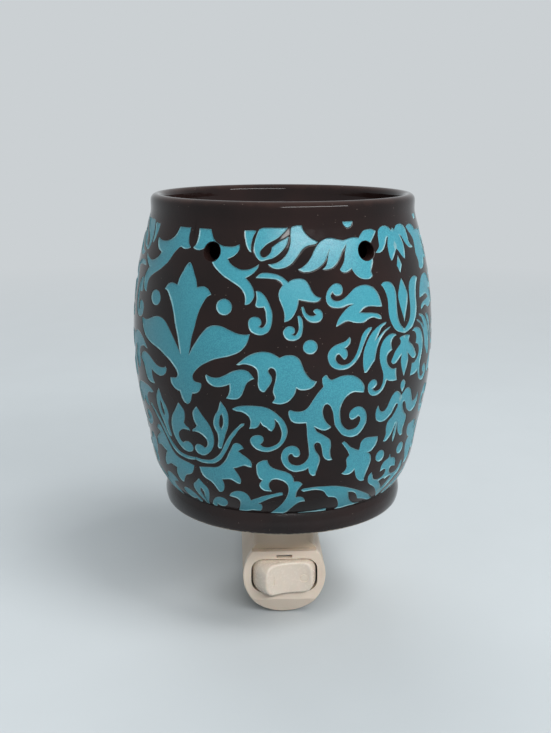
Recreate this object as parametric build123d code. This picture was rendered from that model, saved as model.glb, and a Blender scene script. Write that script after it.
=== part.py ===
from build123d import *
import os
from math import asin, cos, radians, sin, sqrt

# A wall plug-in wax melt warmer with a glazed barrel shade, in millimetres.
# The plug points along +Y into the wall plane y = 0, the switch faces -Y and the shade stands up along +Z.
# The origin is on the wall plane, on the round plug body's own axis, about which the plug swivels.

# Ceramic shade
belly_radius = 46.0
shade_height = 95.6
shade_wall = 3.2
rim_width = 3.7
foot_band_height = 6.5
foot_bead_height = 3.2
shade_floor_thickness = 4.0
vent_radius = 2.45
vent_drop = 13.4
vent_margin = 0.8
vent_count = 6
foot_edge_share = 0.797
foot_bead_share = 0.811
waist_share = 0.792
collar_share = 0.859
rim_share = 0.863
collar_height_share = 0.945
dish_floor_share = 0.5
# radius as a share of the belly radius, height as a share of the shade height
belly_shares = [(0.852, 0.115), (0.917, 0.24), (0.981, 0.40), (1.0, 0.54), (0.971, 0.73), (0.902, 0.88)]

# Where the shade stands
wall_gap = 11.0
foot_gap = 9.9
nose_reach = 15.0

# Round plug body and its neck, moulded as two halves
barrel_radius = 13.1
shell_wall = 1.6
back_wall = 2.2
neck_half_width = 9.7
neck_back_reach = 13.0
neck_corner_radius = 3.0
collar_thickness = 2.4
collar_wall = 2.4
collar_overhang = 0.8
lip_overhang = 1.5
lip_thickness = 1.6
flare_height = 3.0
boss_radius = 2.4
boss_wall_gap = 1.6

# Clearances and the overrun that every cut shares
seat_clearance = 0.05
running_clearance = 0.06
slot_clearance = 0.12
overrun = 1.0

# Screws: self-tapping, pan head
screw_radius = 1.0
screw_head_radius = 1.9
screw_head_height = 1.2
screw_hole_clearance = 0.15
screw_pilot_clearance = 0.04
screw_slot_width = 0.5
screw_slot_depth = 0.5

# Base plate, gasket and the three leaf springs
plate_inset = 0.4
plate_thickness = 2.2
plate_clearance = 0.8
gasket_thickness = 1.0
gasket_margin = 0.6
clip_count = 3
clip_width = 5.0
clip_thickness = 0.4
clip_gap = 0.3
clip_riser_gap = 0.8
clip_bow = 2.9
clip_clearance = 0.1
clip_top_height = 7.0
clip_foot_bend = 0.7
clip_bow_bend = 3.0

# Lampholder for a 12 mm candelabra screw lamp
socket_radius = 10.3
socket_flange = 2.1
socket_flange_thickness = 2.0
socket_floor = 4.0
socket_ledge = 1.2
socket_mouth_depth = 4.5
socket_mouth_gap = 1.5
shell_thickness = 0.35
thread_clearance = 0.12
contact_thickness = 0.4
contact_width = 3.5
contact_rise = 0.6
contact_bend = 0.6
contact_slot_reach = 1.6
contact_tab_length = 3.8

# Lamp
lamp_length = 54.0
lamp_glass_radius = 11.1
lamp_glass_wall = 0.7
lamp_neck_radius = 4.95
lamp_neck_height = 7.0
lamp_base_radius = 5.95
lamp_base_height = 9.2
lamp_base_skin = 0.4
lamp_thread_depth = 0.4
lamp_thread_pitch = 2.54
lamp_button_radius = 1.9
lamp_button_height = 0.9
lamp_insulator_height = 1.4
lamp_insulator_lip = 0.4
lamp_stem_radius = 1.4
lamp_stem_height = 13.0
lamp_wire_radius = 0.2
lamp_wire_offset = 0.8
lamp_filament_radius = 5.0
lamp_wire_rise = 8.0
lamp_wire_end = 2.0
lamp_wire_bend = 1.2
bulb_clearance = 14.5
# radius as a share of the glass radius, height as a share of the glass above the neck
glass_shares = [(0.76, 0.16), (0.99, 0.42), (0.90, 0.66), (0.56, 0.90)]
glass_tip_share = 0.16

# Front cap of the plug body
cap_face = 1.6
cap_depth = 2.2
cap_half_height = 8.2
cap_facet_left = 0.3
cap_edge_radius = 0.5
bezel_ring = 2.65
bezel_lip = 2.6
opening_corner_share = 0.66
spigot_length = 3.0
spigot_wall = 1.5
latch_slot_width = 4.9
latch_slot_height = 0.9
latch_slot_gap = 0.4

# Rocker
pivot_depth = 2.9
rocker_gap = 0.33
rocker_end_rise = 7.0
rocker_dish = 1.8
rocker_skirt = 0.9
rocker_edge_radius = 0.8
rocker_tilt = 12.0
trunnion_radius = 0.9
trunnion_length = 1.1
stem_half_width = 2.2
stem_half_height = 2.5
stem_depth = 3.6
mark_depth = 0.18
mark_stroke = 0.55
mark_height = 3.0
mark_offset_share = 0.49

# Spring plunger in the rocker
plunger_radius = 0.95
plunger_bore_wall = 1.6
plunger_tip_reach = 6.2
spring_length = 3.3
spring_wire = 0.14
spring_turns = 5

# Switch body and its contacts
body_half_height = 7.2
body_back_wall = 1.6
rocker_room = 0.5
contact_room_half_width = 7.6
contact_room_half_height = 3.4
seesaw_thickness = 0.5
seesaw_width = 3.6
seesaw_half_length = 6.0
seesaw_tilt = 8.0
plunger_gap = 0.1
rivet_radius = 1.2
rivet_height = 0.4
rivet_reach = 4.6
rivet_gap = 0.05
terminal_thickness = 0.5
terminal_height = 3.0
terminal_tab = 3.5
terminal_reach = 6.0
terminal_pad = 2.8
terminal_bend = 0.5
body_rib_width = 1.2
body_rib_height = 1.1
cradle_half_width = 6.0
cradle_length = 3.0

# Swivelling plug face and its blades
disc_stand = 0.8
disc_boss_radius = 9.8
disc_flange_gap = 0.15
disc_flange_thickness = 2.1
blade_spacing = 12.7
blade_thickness = 1.5
blade_reach = 17.0
blade_live_width = 6.35
blade_neutral_width = 7.9
blade_tip_chamfer = 0.5
strip_thickness = 0.6
strip_half_width = 2.2
ring_width_share = 0.7
ring_rim_gap = 0.3
button_radius = 1.5
button_height = 0.9
stop_pin_radius = 0.4
stop_pin_length = 1.1

# Fixed slip contacts
carrier_gap = 0.1
carrier_rim_wall = 0.9
carrier_rim_depth = 3.3
carrier_wall = 2.0
carrier_flange = 0.7
wiper_thickness = 0.3
wiper_width = 2.6
wiper_bend = 0.5
wiper_tail = 3.6
wiper_tail_gap = 0.1
wiper_tip = 1.4
wiper_ramp = 3.4
live_wiper_slot = 5.2
neutral_wiper_share = 0.546
neutral_ramp = 1.3

# Internal wires
wire_radius = 0.85
wire_bend = 2.2
switched_wire_offset = 3.2

# Places along the plug axis, worked out from the wall
pot_y = -(wall_gap + belly_radius)
nose_y = pot_y - nose_reach
shell_front_y = nose_y + cap_depth
cap_inner_y = nose_y + cap_face
pivot_y = nose_y + pivot_depth
shell_back_y = -disc_stand
back_wall_y = shell_back_y - back_wall
disc_flange_y = back_wall_y - seat_clearance
disc_back_y = disc_flange_y - disc_flange_thickness
strip_back_y = disc_back_y - strip_thickness
button_tip_y = strip_back_y - button_height
carrier_rear_y = disc_back_y - carrier_gap
carrier_wall_y = carrier_rear_y - carrier_rim_depth
carrier_front_y = carrier_wall_y - carrier_wall
tail_y = carrier_front_y - wiper_thickness

# Radii inside the plug body
inner_radius = barrel_radius - shell_wall
fit_radius = inner_radius - seat_clearance
disc_flange_radius = inner_radius - disc_flange_gap
carrier_flange_radius = inner_radius + carrier_flange
carrier_rim_inside = fit_radius - carrier_rim_wall
ring_outer_radius = carrier_rim_inside - ring_rim_gap
live_arm_reach = (blade_spacing + blade_thickness) / 2
ring_inner_radius = ring_outer_radius - (ring_outer_radius - live_arm_reach) * ring_width_share
ring_middle_radius = (ring_inner_radius + ring_outer_radius) / 2
neutral_wiper_place = ring_middle_radius * neutral_wiper_share
neutral_wiper_tail = neutral_wiper_place - wiper_width / 2 - wiper_tail_gap
stop_pin_place = disc_flange_radius - stop_pin_radius - seat_clearance

# Rocker and switch, worked out from the front cap
opening_half_width = barrel_radius - bezel_ring
opening_half_height = cap_half_height - bezel_lip
opening_corner = opening_half_height * opening_corner_share
rocker_radius = opening_half_width - rocker_gap
rocker_half_height = opening_half_height - rocker_gap
rocker_corner_x = sqrt(rocker_radius ** 2 - rocker_end_rise ** 2)
rocker_middle = rocker_end_rise - rocker_dish
rocker_room_y = pivot_y + rocker_radius * sin(radians(rocker_tilt)) + rocker_skirt + rocker_room
seesaw_y = pivot_y + plunger_tip_reach + plunger_gap + seesaw_thickness / 2
rivet_swing = (rivet_reach + rivet_radius) * sin(radians(seesaw_tilt)) + seesaw_thickness / 2 + rivet_height
contact_wall_y = seesaw_y + rivet_swing + rivet_gap + rivet_height + terminal_thickness
body_back_y = contact_wall_y + body_back_wall
tab_end_y = body_back_y + terminal_tab
tab_y = body_back_y + terminal_tab / 2

# Heights, worked out from the plug axis
foot_z = barrel_radius + foot_gap
plate_z = foot_z + plate_inset
plate_top_z = plate_z + plate_thickness
floor_z = plate_top_z + gasket_thickness
floor_top_z = floor_z + shade_floor_thickness
crest_z = foot_z + shade_height
rim_z = crest_z - rim_width / 2
vent_z = crest_z - vent_drop
collar_z = plate_z - collar_thickness
socket_z = collar_z + socket_ledge
socket_floor_z = socket_z + socket_floor
flange_top_z = socket_z + socket_flange_thickness
lip_z = plate_top_z + seat_clearance
lip_top_z = lip_z + lip_thickness
contact_top_z = socket_floor_z + contact_rise + contact_thickness
lamp_z = contact_top_z + contact_rise + seat_clearance
insulator_z = lamp_z + lamp_button_height
lamp_base_z = insulator_z + lamp_insulator_height
lamp_base_top_z = lamp_base_z + lamp_base_height
lamp_neck_z = lamp_base_top_z - lamp_neck_height / 2
glass_z = lamp_neck_z + lamp_neck_height
lamp_top_z = lamp_z + lamp_length
socket_top_z = lamp_base_top_z + socket_mouth_depth
dish_floor_z = lamp_top_z + bulb_clearance + shade_wall

# Radii around the shade axis
socket_flange_radius = socket_radius + socket_flange
spigot_radius = socket_flange_radius + collar_wall
collar_radius = spigot_radius + collar_overhang
lip_radius = spigot_radius + lip_overhang
clip_screw_place = lip_radius + clip_gap + screw_head_radius
clip_screw_length = clip_thickness + plate_thickness
clip_riser_radius = clip_screw_place + screw_head_radius + clip_riser_gap
clip_bow_radius = clip_riser_radius + clip_bow
clip_outer_reach = clip_bow_radius + clip_thickness / 2 + clip_clearance
shade_opening_radius = sqrt(clip_outer_reach ** 2 + (clip_width / 2) ** 2)
rim_outer_radius = belly_radius * rim_share
rim_inner_radius = rim_outer_radius - rim_width
foot_inner_radius = belly_radius * waist_share - shade_wall
plate_radius = foot_inner_radius - plate_clearance
socket_bore_radius = lamp_base_radius + thread_clearance + shell_thickness + seat_clearance

# Screw places in the plug body
neck_top_gap_z = (barrel_radius + collar_z) / 2
boss_places = [
    ((body_back_y + carrier_front_y) / 2, -(inner_radius - boss_radius - boss_wall_gap)),
    (shell_front_y + shell_wall / 2 + boss_radius, neck_top_gap_z),
    (pot_y + neck_back_reach - shell_wall / 2 - boss_radius, neck_top_gap_z),
]
screw_seat_x = neck_half_width - screw_head_height - shell_wall / 2
screw_tip_x = -(neck_half_width - shell_wall)


def x_cylinder(radius, left, right, y, z):
    """A cylinder along X from left to right."""
    return Pos((left + right) / 2, y, z) * Rot(0, 90, 0) * Cylinder(radius, right - left)


def y_cylinder(radius, front, back, x=0, z=0):
    """A cylinder along Y from front to back."""
    return Pos(x, (front + back) / 2, z) * Rot(90, 0, 0) * Cylinder(radius, back - front)


def z_cylinder(radius, low, high, x=0, y=pot_y):
    """A cylinder along Z, on the shade axis unless it is told otherwise."""
    return Pos(x, y, (low + high) / 2) * Cylinder(radius, high - low)


def block(x_low, x_high, y_low, y_high, z_low, z_high):
    """A box between two corners."""
    middle = Pos((x_low + x_high) / 2, (y_low + y_high) / 2, (z_low + z_high) / 2)
    return middle * Box(x_high - x_low, y_high - y_low, z_high - z_low)


def y_prism(outline, front, back):
    """A flat outline in X and Z, made solid from front to back."""
    start = Plane((0, back, 0), x_dir=(1, 0, 0), z_dir=(0, -1, 0))
    return extrude(start * outline, amount=back - front)


def z_prism(outline, low, high):
    """A flat outline in X and Y, made solid from low to high."""
    return extrude(Plane.XY.offset(low) * outline, amount=high - low)


def turned(edges):
    """A closed outline in radius and height, turned about the shade axis."""
    profile = Plane.XZ * make_face(edges)
    return Pos(0, pot_y, 0) * revolve(profile, axis=Axis.Z)


def strip(path, width, thickness, side):
    """A bent sheet-metal strip: a path in one plane, whose normal is side, swept by its section."""
    start = Plane(path @ 0, x_dir=side, z_dir=path % 0)
    return sweep(start * Rectangle(width, thickness), path=path)


def bent_slot(thickness, width, bend):
    """The slot for a strip on X = 0, widened towards -X where the strip bends that way beside the wall."""
    low = -thickness / 2 - slot_clearance - bend
    high = thickness / 2 + slot_clearance
    return Pos((low + high) / 2, 0) * Rectangle(high - low, width + 2 * slot_clearance)


def wire(points, radius, bend):
    """A round wire on straight runs joined by tangent arcs."""
    path = FilletPolyline(*points, radius=bend) if len(points) > 2 else Line(*points)
    start = Plane(path @ 0, z_dir=path % 0)
    return sweep(start * Circle(radius), path=path)


def pan_head_screw(length):
    """A slotted pan-head screw along +Z, with its seat at the origin and its shank below."""
    head = Pos(0, 0, screw_head_height / 2) * Cylinder(screw_head_radius, screw_head_height)
    rim = head.edges().filter_by(GeomType.CIRCLE).sort_by(Axis.Z)[-1]
    head = fillet(rim, screw_head_height / 2)
    slot = Pos(0, 0, screw_head_height) * Box(2 * screw_head_radius, screw_slot_width, 2 * screw_slot_depth)
    shank = Pos(0, 0, -length / 2) * Cylinder(screw_radius, length)
    point = shank.edges().filter_by(GeomType.CIRCLE).sort_by(Axis.Z)[0]
    return (head - slot) + chamfer(point, screw_radius / 2)


def belly_curve(inset):
    """The shade's side from the waist to the collar, drawn inwards by inset."""
    waist = (belly_radius * waist_share - inset, foot_z + foot_band_height)
    collar = (belly_radius * collar_share - inset, foot_z + shade_height * collar_height_share)
    middle = [(belly_radius * r - inset, foot_z + shade_height * h) for r, h in belly_shares]
    return Spline(waist, *middle, collar)


def dish_shape(outset):
    """The wax dish as a solid of revolution: a flat floor and a rounded side, grown by outset."""
    floor_radius = rim_inner_radius * dish_floor_share
    width, depth = rim_inner_radius - floor_radius + outset, rim_z - dish_floor_z + outset
    side = EllipticalCenterArc((floor_radius, rim_z), width, depth, start_angle=-90, arc_size=90)
    top = crest_z + overrun
    rest = Polyline(side @ 1, ((side @ 1).X, top), (0, top), (0, (side @ 0).Y), side @ 0)
    return turned([side, rest])


def shade_outside():
    """The barrel filled up to its rim: foot bead, belly, collar and rolled rim."""
    foot_edge = (belly_radius * foot_edge_share, foot_z)
    foot_bead = (belly_radius * foot_bead_share, foot_z + foot_bead_height)
    belly = belly_curve(0)
    foot = ThreePointArc(foot_edge, foot_bead, belly @ 0)
    collar = Line(belly @ 1, (rim_outer_radius, rim_z))
    crest = (rim_outer_radius - rim_width / 2, crest_z)
    bead = ThreePointArc((rim_outer_radius, rim_z), crest, (rim_inner_radius, rim_z))
    rest = Polyline((rim_inner_radius, rim_z), (0, rim_z), (0, foot_z), foot_edge)
    return turned([foot, belly, collar, bead, rest])


def shade_hollow():
    """The space inside the barrel wall, from the floor up to just above the vents."""
    wall = belly_curve(shade_wall)
    full = turned([wall, Polyline(wall @ 1, (0, (wall @ 1).Y), (0, (wall @ 0).Y), wall @ 0)])
    top = vent_z + vent_radius + vent_margin
    return full & z_cylinder(belly_radius, floor_top_z, top)


def shade_vents():
    """The round vents, spread evenly with one pair either side of the front."""
    step = 360 / vent_count
    reach = belly_radius + overrun
    hole = y_cylinder(vent_radius, -reach, -reach / 2)
    return [Pos(0, pot_y, vent_z) * Rot(0, 0, step * (i + 1 / 2)) * hole for i in range(vent_count)]


def make_ceramic_shade():
    outside = shade_outside()
    body = outside - shade_hollow() - shade_vents()
    body += dish_shape(shade_wall) & outside
    body -= dish_shape(0)
    body -= z_cylinder(foot_inner_radius, foot_z - overrun, floor_z)
    return body - z_cylinder(shade_opening_radius, foot_z, floor_top_z + overrun)


def make_shade_gasket():
    ring = z_cylinder(plate_radius - gasket_margin, plate_top_z, floor_z)
    return ring - z_cylinder(shade_opening_radius + gasket_margin, plate_z, floor_top_z)


def clip_turns():
    """One turn about the shade axis for each leaf spring, the first at the front."""
    return [Pos(0, pot_y, 0) * Rot(0, 0, 360 / clip_count * i - 90) for i in range(clip_count)]


def make_base_plate():
    plate = z_cylinder(plate_radius, plate_z, plate_top_z)
    plate -= z_cylinder(spigot_radius + seat_clearance, plate_z - overrun, plate_top_z + overrun)
    pilot_radius = screw_radius + screw_pilot_clearance
    pilot = z_cylinder(pilot_radius, plate_z - overrun, plate_top_z + overrun, clip_screw_place, 0)
    return plate - [turn * pilot for turn in clip_turns()]


def make_spring_clip(turn):
    foot_height = plate_top_z + clip_thickness / 2
    path = FilletPolyline(
        (lip_radius + clip_gap, 0, foot_height),
        (clip_riser_radius, 0, foot_height),
        (clip_bow_radius, 0, floor_z + shade_floor_thickness / 2),
        (clip_riser_radius, 0, floor_top_z + clip_top_height),
        radius=[clip_foot_bend, clip_bow_bend],
    )
    leaf = strip(path, clip_width, clip_thickness, (0, 1, 0))
    top = plate_top_z + clip_thickness + overrun
    hole = z_cylinder(screw_radius + screw_hole_clearance, plate_z, top, clip_screw_place, 0)
    return turn * (leaf - hole)


def make_clip_screws():
    screw = Pos(clip_screw_place, 0, plate_top_z + clip_thickness) * pan_head_screw(clip_screw_length)
    return Compound([turn * screw for turn in clip_turns()])


def neck_outline(inset):
    """The neck's section, drawn inwards by inset."""
    front = shell_front_y + inset
    back = pot_y + neck_back_reach - inset
    corner = max(neck_corner_radius - inset, neck_corner_radius / 4)
    width = 2 * (neck_half_width - inset)
    return Pos(0, (front + back) / 2) * RectangleRounded(width, back - front, corner)


def housing_outside():
    """The plug body, its neck, the flared collar under the base plate, and the lip above it."""
    body = y_cylinder(barrel_radius, shell_front_y, shell_back_y)
    body += z_prism(neck_outline(0), 0, collar_z)
    flare = Cone(collar_radius - flare_height, collar_radius, flare_height)
    body += Pos(0, pot_y, collar_z - flare_height / 2) * flare
    body += z_cylinder(collar_radius, collar_z, plate_z - seat_clearance)
    body += z_cylinder(spigot_radius, plate_z - seat_clearance, lip_z)
    return body + z_cylinder(lip_radius, lip_z, lip_top_z)


def housing_inside():
    """The hollow of the plug body: bore, neck, and the seats of plug, slip contacts and lampholder."""
    behind_front = shell_front_y + shell_wall
    space = y_cylinder(inner_radius, behind_front, back_wall_y)
    mouth = y_cylinder(inner_radius, shell_front_y - overrun, behind_front + overrun)
    mouth_top = cap_half_height + seat_clearance
    space += mouth & block(
        -barrel_radius, barrel_radius, nose_y, behind_front + overrun, -barrel_radius, mouth_top
    )
    space += y_cylinder(disc_boss_radius + running_clearance, back_wall_y - overrun, overrun)
    groove_front, groove_back = carrier_front_y - seat_clearance, carrier_wall_y + seat_clearance
    space += y_cylinder(carrier_flange_radius + seat_clearance, groove_front, groove_back)
    space += z_prism(neck_outline(shell_wall), 0, socket_z)
    space += z_cylinder(socket_flange_radius + seat_clearance, socket_z, flange_top_z + seat_clearance)
    return space + z_cylinder(socket_radius + seat_clearance, socket_z, lip_top_z + overrun)


def housing_ribs():
    """The rib behind the switch, the cradle under it and the screw bosses."""
    rib_back = body_back_y + seat_clearance + body_rib_width
    rib = y_cylinder(inner_radius + shell_wall / 2, body_back_y + seat_clearance, rib_back)
    rib -= y_cylinder(inner_radius - body_rib_height, nose_y, 0)
    rib -= z_prism(neck_outline(shell_wall), 0, collar_z)
    middle = (rocker_room_y + contact_wall_y) / 2
    cradle = block(
        -cradle_half_width, cradle_half_width, middle - cradle_length / 2, middle + cradle_length / 2,
        -barrel_radius, -body_half_height - seat_clearance,
    )
    bosses = [x_cylinder(boss_radius, -barrel_radius, barrel_radius, y, z) for y, z in boss_places]
    return [rib, cradle] + bosses


def housing_screw_holes():
    """Head wells and clearance holes on the right, pilot holes on the left."""
    well_radius = screw_head_radius + screw_hole_clearance
    clear_radius = screw_radius + screw_hole_clearance
    pilot_radius = screw_radius + screw_pilot_clearance
    holes = []
    for y, z in boss_places:
        well = x_cylinder(well_radius, screw_seat_x, barrel_radius + overrun, y, z)
        clear = x_cylinder(clear_radius, 0, screw_seat_x + overrun, y, z)
        pilot = x_cylinder(pilot_radius, screw_tip_x - seat_clearance, 0, y, z)
        holes += [well, clear, pilot]
    return holes


def cap_bead(clearance):
    """The ring round the cap's spigot, or with a clearance the groove that it snaps into."""
    middle = shell_front_y + shell_wall + (spigot_length - shell_wall) / 2
    half = (spigot_length - shell_wall) / 4
    reach = half + clearance
    ring = y_cylinder(fit_radius + shell_wall / 4 + clearance, middle - reach, middle + reach)
    below = -body_half_height - seat_clearance + clearance
    return ring & block(-barrel_radius, barrel_radius, nose_y, 0, -barrel_radius, below)


def make_housing():
    """Both halves of the plug body, parted on the plane x = 0."""
    outside = housing_outside()
    shell = outside - housing_inside()
    for rib in housing_ribs():
        shell += rib & outside
    shell -= housing_screw_holes()
    shell -= cap_bead(seat_clearance)
    side = 2 * barrel_radius
    right_half = block(0, side, nose_y - side, side, -side, lip_top_z + side)
    left_half = block(-side, 0, nose_y - side, side, -side, lip_top_z + side)
    return shell & left_half, shell & right_half


def make_housing_screws():
    screw = pan_head_screw(screw_seat_x - screw_tip_x)
    return Compound([Pos(screw_seat_x, y, z) * Rot(0, 90, 0) * screw for y, z in boss_places])


def opening_outline():
    """The rounded window that the rocker stands in."""
    return RectangleRounded(2 * opening_half_width, 2 * opening_half_height, opening_corner)


def make_switch_bezel():
    """The front cap: round, cut flat on top, sloped below, with the rocker's window and a latch slot."""
    cap = y_cylinder(barrel_radius, nose_y, shell_front_y)
    front_edge = cap.edges().filter_by(GeomType.CIRCLE).sort_by(Axis.Y)[0]
    cap = fillet(front_edge, cap_edge_radius)
    room = y_cylinder(fit_radius, cap_inner_y, shell_front_y + overrun)
    body_space = Rectangle(2 * barrel_radius, 2 * (body_half_height + seat_clearance))
    cap -= room & y_prism(body_space, cap_inner_y, 0)
    cap -= block(-barrel_radius, barrel_radius, nose_y, 0, cap_half_height, barrel_radius)
    facet = Plane.YZ * make_face(Polyline(
        (nose_y, -cap_half_height),
        (shell_front_y - cap_facet_left, -barrel_radius),
        (shell_front_y - cap_facet_left, -barrel_radius - overrun),
        (nose_y - overrun, -barrel_radius - overrun),
        (nose_y - overrun, -cap_half_height),
        close=True,
    ))
    cap -= extrude(facet, amount=barrel_radius, both=True)
    spigot = y_cylinder(fit_radius, shell_front_y - seat_clearance, shell_front_y + spigot_length)
    spigot -= y_cylinder(fit_radius - spigot_wall, nose_y, 0)
    below = -body_half_height - seat_clearance
    cap += spigot & block(-barrel_radius, barrel_radius, nose_y, 0, -barrel_radius, below)
    cap += cap_bead(0) - y_cylinder(fit_radius - spigot_wall, nose_y, 0)
    cap -= y_prism(opening_outline(), nose_y - overrun, shell_front_y + overrun)
    slot_z = opening_half_height + latch_slot_gap + latch_slot_height / 2
    slot = Rectangle(latch_slot_width, latch_slot_height)
    return cap - Pos(0, 0, slot_z) * y_prism(slot, nose_y - overrun, shell_front_y + overrun)


def make_switch_body():
    """The switch's moulded body: a window-shaped well for the rocker over a narrower contact room."""
    body = y_cylinder(fit_radius, cap_inner_y, body_back_y)
    body &= y_prism(Rectangle(2 * barrel_radius, 2 * body_half_height), cap_inner_y, body_back_y)
    body -= y_prism(opening_outline(), cap_inner_y - overrun, rocker_room_y)
    room = Rectangle(2 * contact_room_half_width, 2 * contact_room_half_height)
    body -= y_prism(room, rocker_room_y - overrun, contact_wall_y)
    body -= z_cylinder(trunnion_radius + running_clearance, -barrel_radius, barrel_radius, 0, pivot_y)
    for x, bend in ((0, 0), (terminal_reach, terminal_bend)):
        slot = bent_slot(terminal_thickness, terminal_height, bend)
        body -= Pos(x, 0, 0) * y_prism(slot, contact_wall_y - overrun, body_back_y + overrun)
    return body


def rocker_profile():
    """The rocker in X and forward distance from its pivot: a dished face over round ends."""
    skirt_x = sqrt(rocker_radius ** 2 - rocker_skirt ** 2)
    turn = (asin(rocker_end_rise / rocker_radius) - asin(rocker_skirt / rocker_radius)) / 2
    side_x, side_y = rocker_radius * cos(turn), rocker_radius * sin(turn)
    left_corner, right_corner = (-rocker_corner_x, rocker_end_rise), (rocker_corner_x, rocker_end_rise)
    face = ThreePointArc(left_corner, (0, rocker_middle), right_corner)
    right = ThreePointArc(face @ 1, (side_x, side_y), (skirt_x, -rocker_skirt))
    left = ThreePointArc((-skirt_x, -rocker_skirt), (-side_x, side_y), face @ 0)
    return make_face([face, right, Line(right @ 1, left @ 0), left])


def rocker_envelope():
    """The rounded outline turned about the pivot, so that the window clears it at every tilt."""
    corner = rocker_half_height * opening_corner_share
    outline = RectangleRounded(2 * rocker_radius, 2 * rocker_half_height, corner)
    half = Plane.XZ * (outline & Pos(rocker_radius, 0) * Rectangle(2 * rocker_radius, 4 * rocker_radius))
    return revolve(half, axis=Axis.Z)


def rocker_marks():
    """A plain bar on the left and a plain ring on the right, as strokes to be sunk into the face."""
    place = rocker_radius * mark_offset_share
    ring = Circle(mark_height / 2) - Circle(mark_height / 2 - mark_stroke)
    bar = Rectangle(mark_stroke, mark_height)
    return (Pos(place, 0) * ring) + (Pos(-place, 0) * bar)


def tipped(piece):
    """A piece modelled level at its pivot, tipped to its rest place in the switch."""
    return Pos(0, pivot_y, 0) * Rot(0, 0, rocker_tilt) * piece


def make_switch_rocker():
    """The rocker with its pins and plunger stem, tipped so that its right side is pressed."""
    away = Plane((0, 0, -rocker_half_height), x_dir=(1, 0, 0), z_dir=(0, 0, 1))
    cap = mirror(extrude(away * rocker_profile(), amount=2 * rocker_half_height), about=Plane.XZ)
    cap &= rocker_envelope()
    face = cap.faces().filter_by(GeomType.CYLINDER).sort_by(lambda f: -f.area)[0]
    cap = fillet(face.edges(), rocker_edge_radius)
    dish_radius = (rocker_corner_x ** 2 + rocker_dish ** 2) / (2 * rocker_dish)
    marks = y_prism(rocker_marks(), -rocker_radius, 0)
    marks &= z_cylinder(
        dish_radius + mark_depth, -rocker_half_height, rocker_half_height, 0, -rocker_middle - dish_radius
    )
    cap -= marks
    stem = block(-stem_half_width, stem_half_width, 0, stem_depth, -stem_half_height, stem_half_height)
    pin_end = rocker_half_height + trunnion_length
    pins = z_cylinder(trunnion_radius, -pin_end, pin_end, 0, 0)
    rocker = cap + stem + pins
    bore_end = -rocker_middle + plunger_bore_wall
    rocker -= y_cylinder(plunger_radius + running_clearance, bore_end, stem_depth + overrun)
    return tipped(rocker)


def make_switch_plunger():
    start = -rocker_middle + plunger_bore_wall + spring_length
    plunger = y_cylinder(plunger_radius, start, plunger_tip_reach)
    tip = plunger.edges().filter_by(GeomType.CIRCLE).sort_by(Axis.Y)[-1]
    return tipped(fillet(tip, plunger_radius * 3 / 4))


def make_switch_spring():
    """A coil between the end of the rocker's bore and the plunger, its turns clear of both."""
    radius = plunger_radius - 2 * spring_wire
    climb = spring_length - 2 * spring_wire - 2 * seat_clearance
    coil = Helix(pitch=climb / spring_turns, height=climb, radius=radius)
    turns = sweep(Plane(coil @ 0, z_dir=coil % 0) * Circle(spring_wire), path=coil)
    start = -rocker_middle + plunger_bore_wall + spring_wire + seat_clearance
    return tipped(Pos(0, start, 0) * Rot(-90, 0, 0) * turns)


def make_switch_seesaw():
    """The moving contact: a flat strip with a rivet at its right end, its left end back at rest."""
    bar = block(
        -seesaw_half_length, seesaw_half_length, -seesaw_thickness / 2, seesaw_thickness / 2,
        -seesaw_width / 2, seesaw_width / 2,
    )
    rivet = y_cylinder(rivet_radius, 0, seesaw_thickness / 2 + rivet_height, rivet_reach)
    return Pos(0, seesaw_y, 0) * Rot(0, 0, -seesaw_tilt) * (bar + rivet)


def make_switch_common_terminal():
    """The blade whose front edge the seesaw rocks on; its tail passes out through the body's back."""
    front = seesaw_y + seesaw_thickness / 2 + seat_clearance
    half = terminal_thickness / 2
    return block(-half, half, front, tab_end_y, -terminal_height / 2, terminal_height / 2)


def make_switch_load_terminal():
    """The fixed contact on the room's back wall, bent to a tail through the body's back."""
    pad_y = contact_wall_y - terminal_thickness / 2
    path = FilletPolyline(
        (terminal_reach - terminal_pad, pad_y, 0),
        (terminal_reach, pad_y, 0),
        (terminal_reach, tab_end_y, 0),
        radius=terminal_bend,
    )
    bent = strip(path, terminal_height, terminal_thickness, (0, 0, 1))
    top = contact_wall_y - terminal_thickness
    return bent + y_cylinder(rivet_radius, top - rivet_height, top, rivet_reach)


def blade_slots(clearance):
    """The two blade sections, grown by a clearance, the wide one on the left as seen from the front."""
    place = blade_spacing / 2
    thick = blade_thickness + clearance
    live = Pos(place, 0) * Rectangle(thick, blade_live_width + clearance)
    neutral = Pos(-place, 0) * Rectangle(thick, blade_neutral_width + clearance)
    return live, neutral


def make_plug_disc():
    """The swivelling plug face: a boss on the wall side, a flange inside, and a pin that stops its turn."""
    disc = y_cylinder(disc_boss_radius, disc_flange_y, 0)
    disc += y_cylinder(disc_flange_radius, disc_back_y, disc_flange_y)
    disc += y_cylinder(stop_pin_radius, disc_back_y - stop_pin_length, disc_back_y, 0, stop_pin_place)
    for section in blade_slots(0):
        disc -= y_prism(section, disc_back_y, overrun)
    return disc


def blade(section):
    """One plug blade through the disc, with its tip's long edges eased."""
    solid = y_prism(section, strip_back_y, blade_reach)
    tip = solid.faces().sort_by(Axis.Y)[-1]
    return chamfer(tip.edges(), blade_tip_chamfer)


def make_blade_live():
    """The narrow blade, with a strip to a contact button on the swivel axis."""
    live, _ = blade_slots(0)
    arm = block(0, live_arm_reach, strip_back_y, disc_back_y, -strip_half_width, strip_half_width)
    button = y_cylinder(button_radius, button_tip_y, disc_back_y)
    rim = button.edges().filter_by(GeomType.CIRCLE).sort_by(Axis.Y)[0]
    return blade(live) + arm + fillet(rim, button_height / 2)


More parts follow.
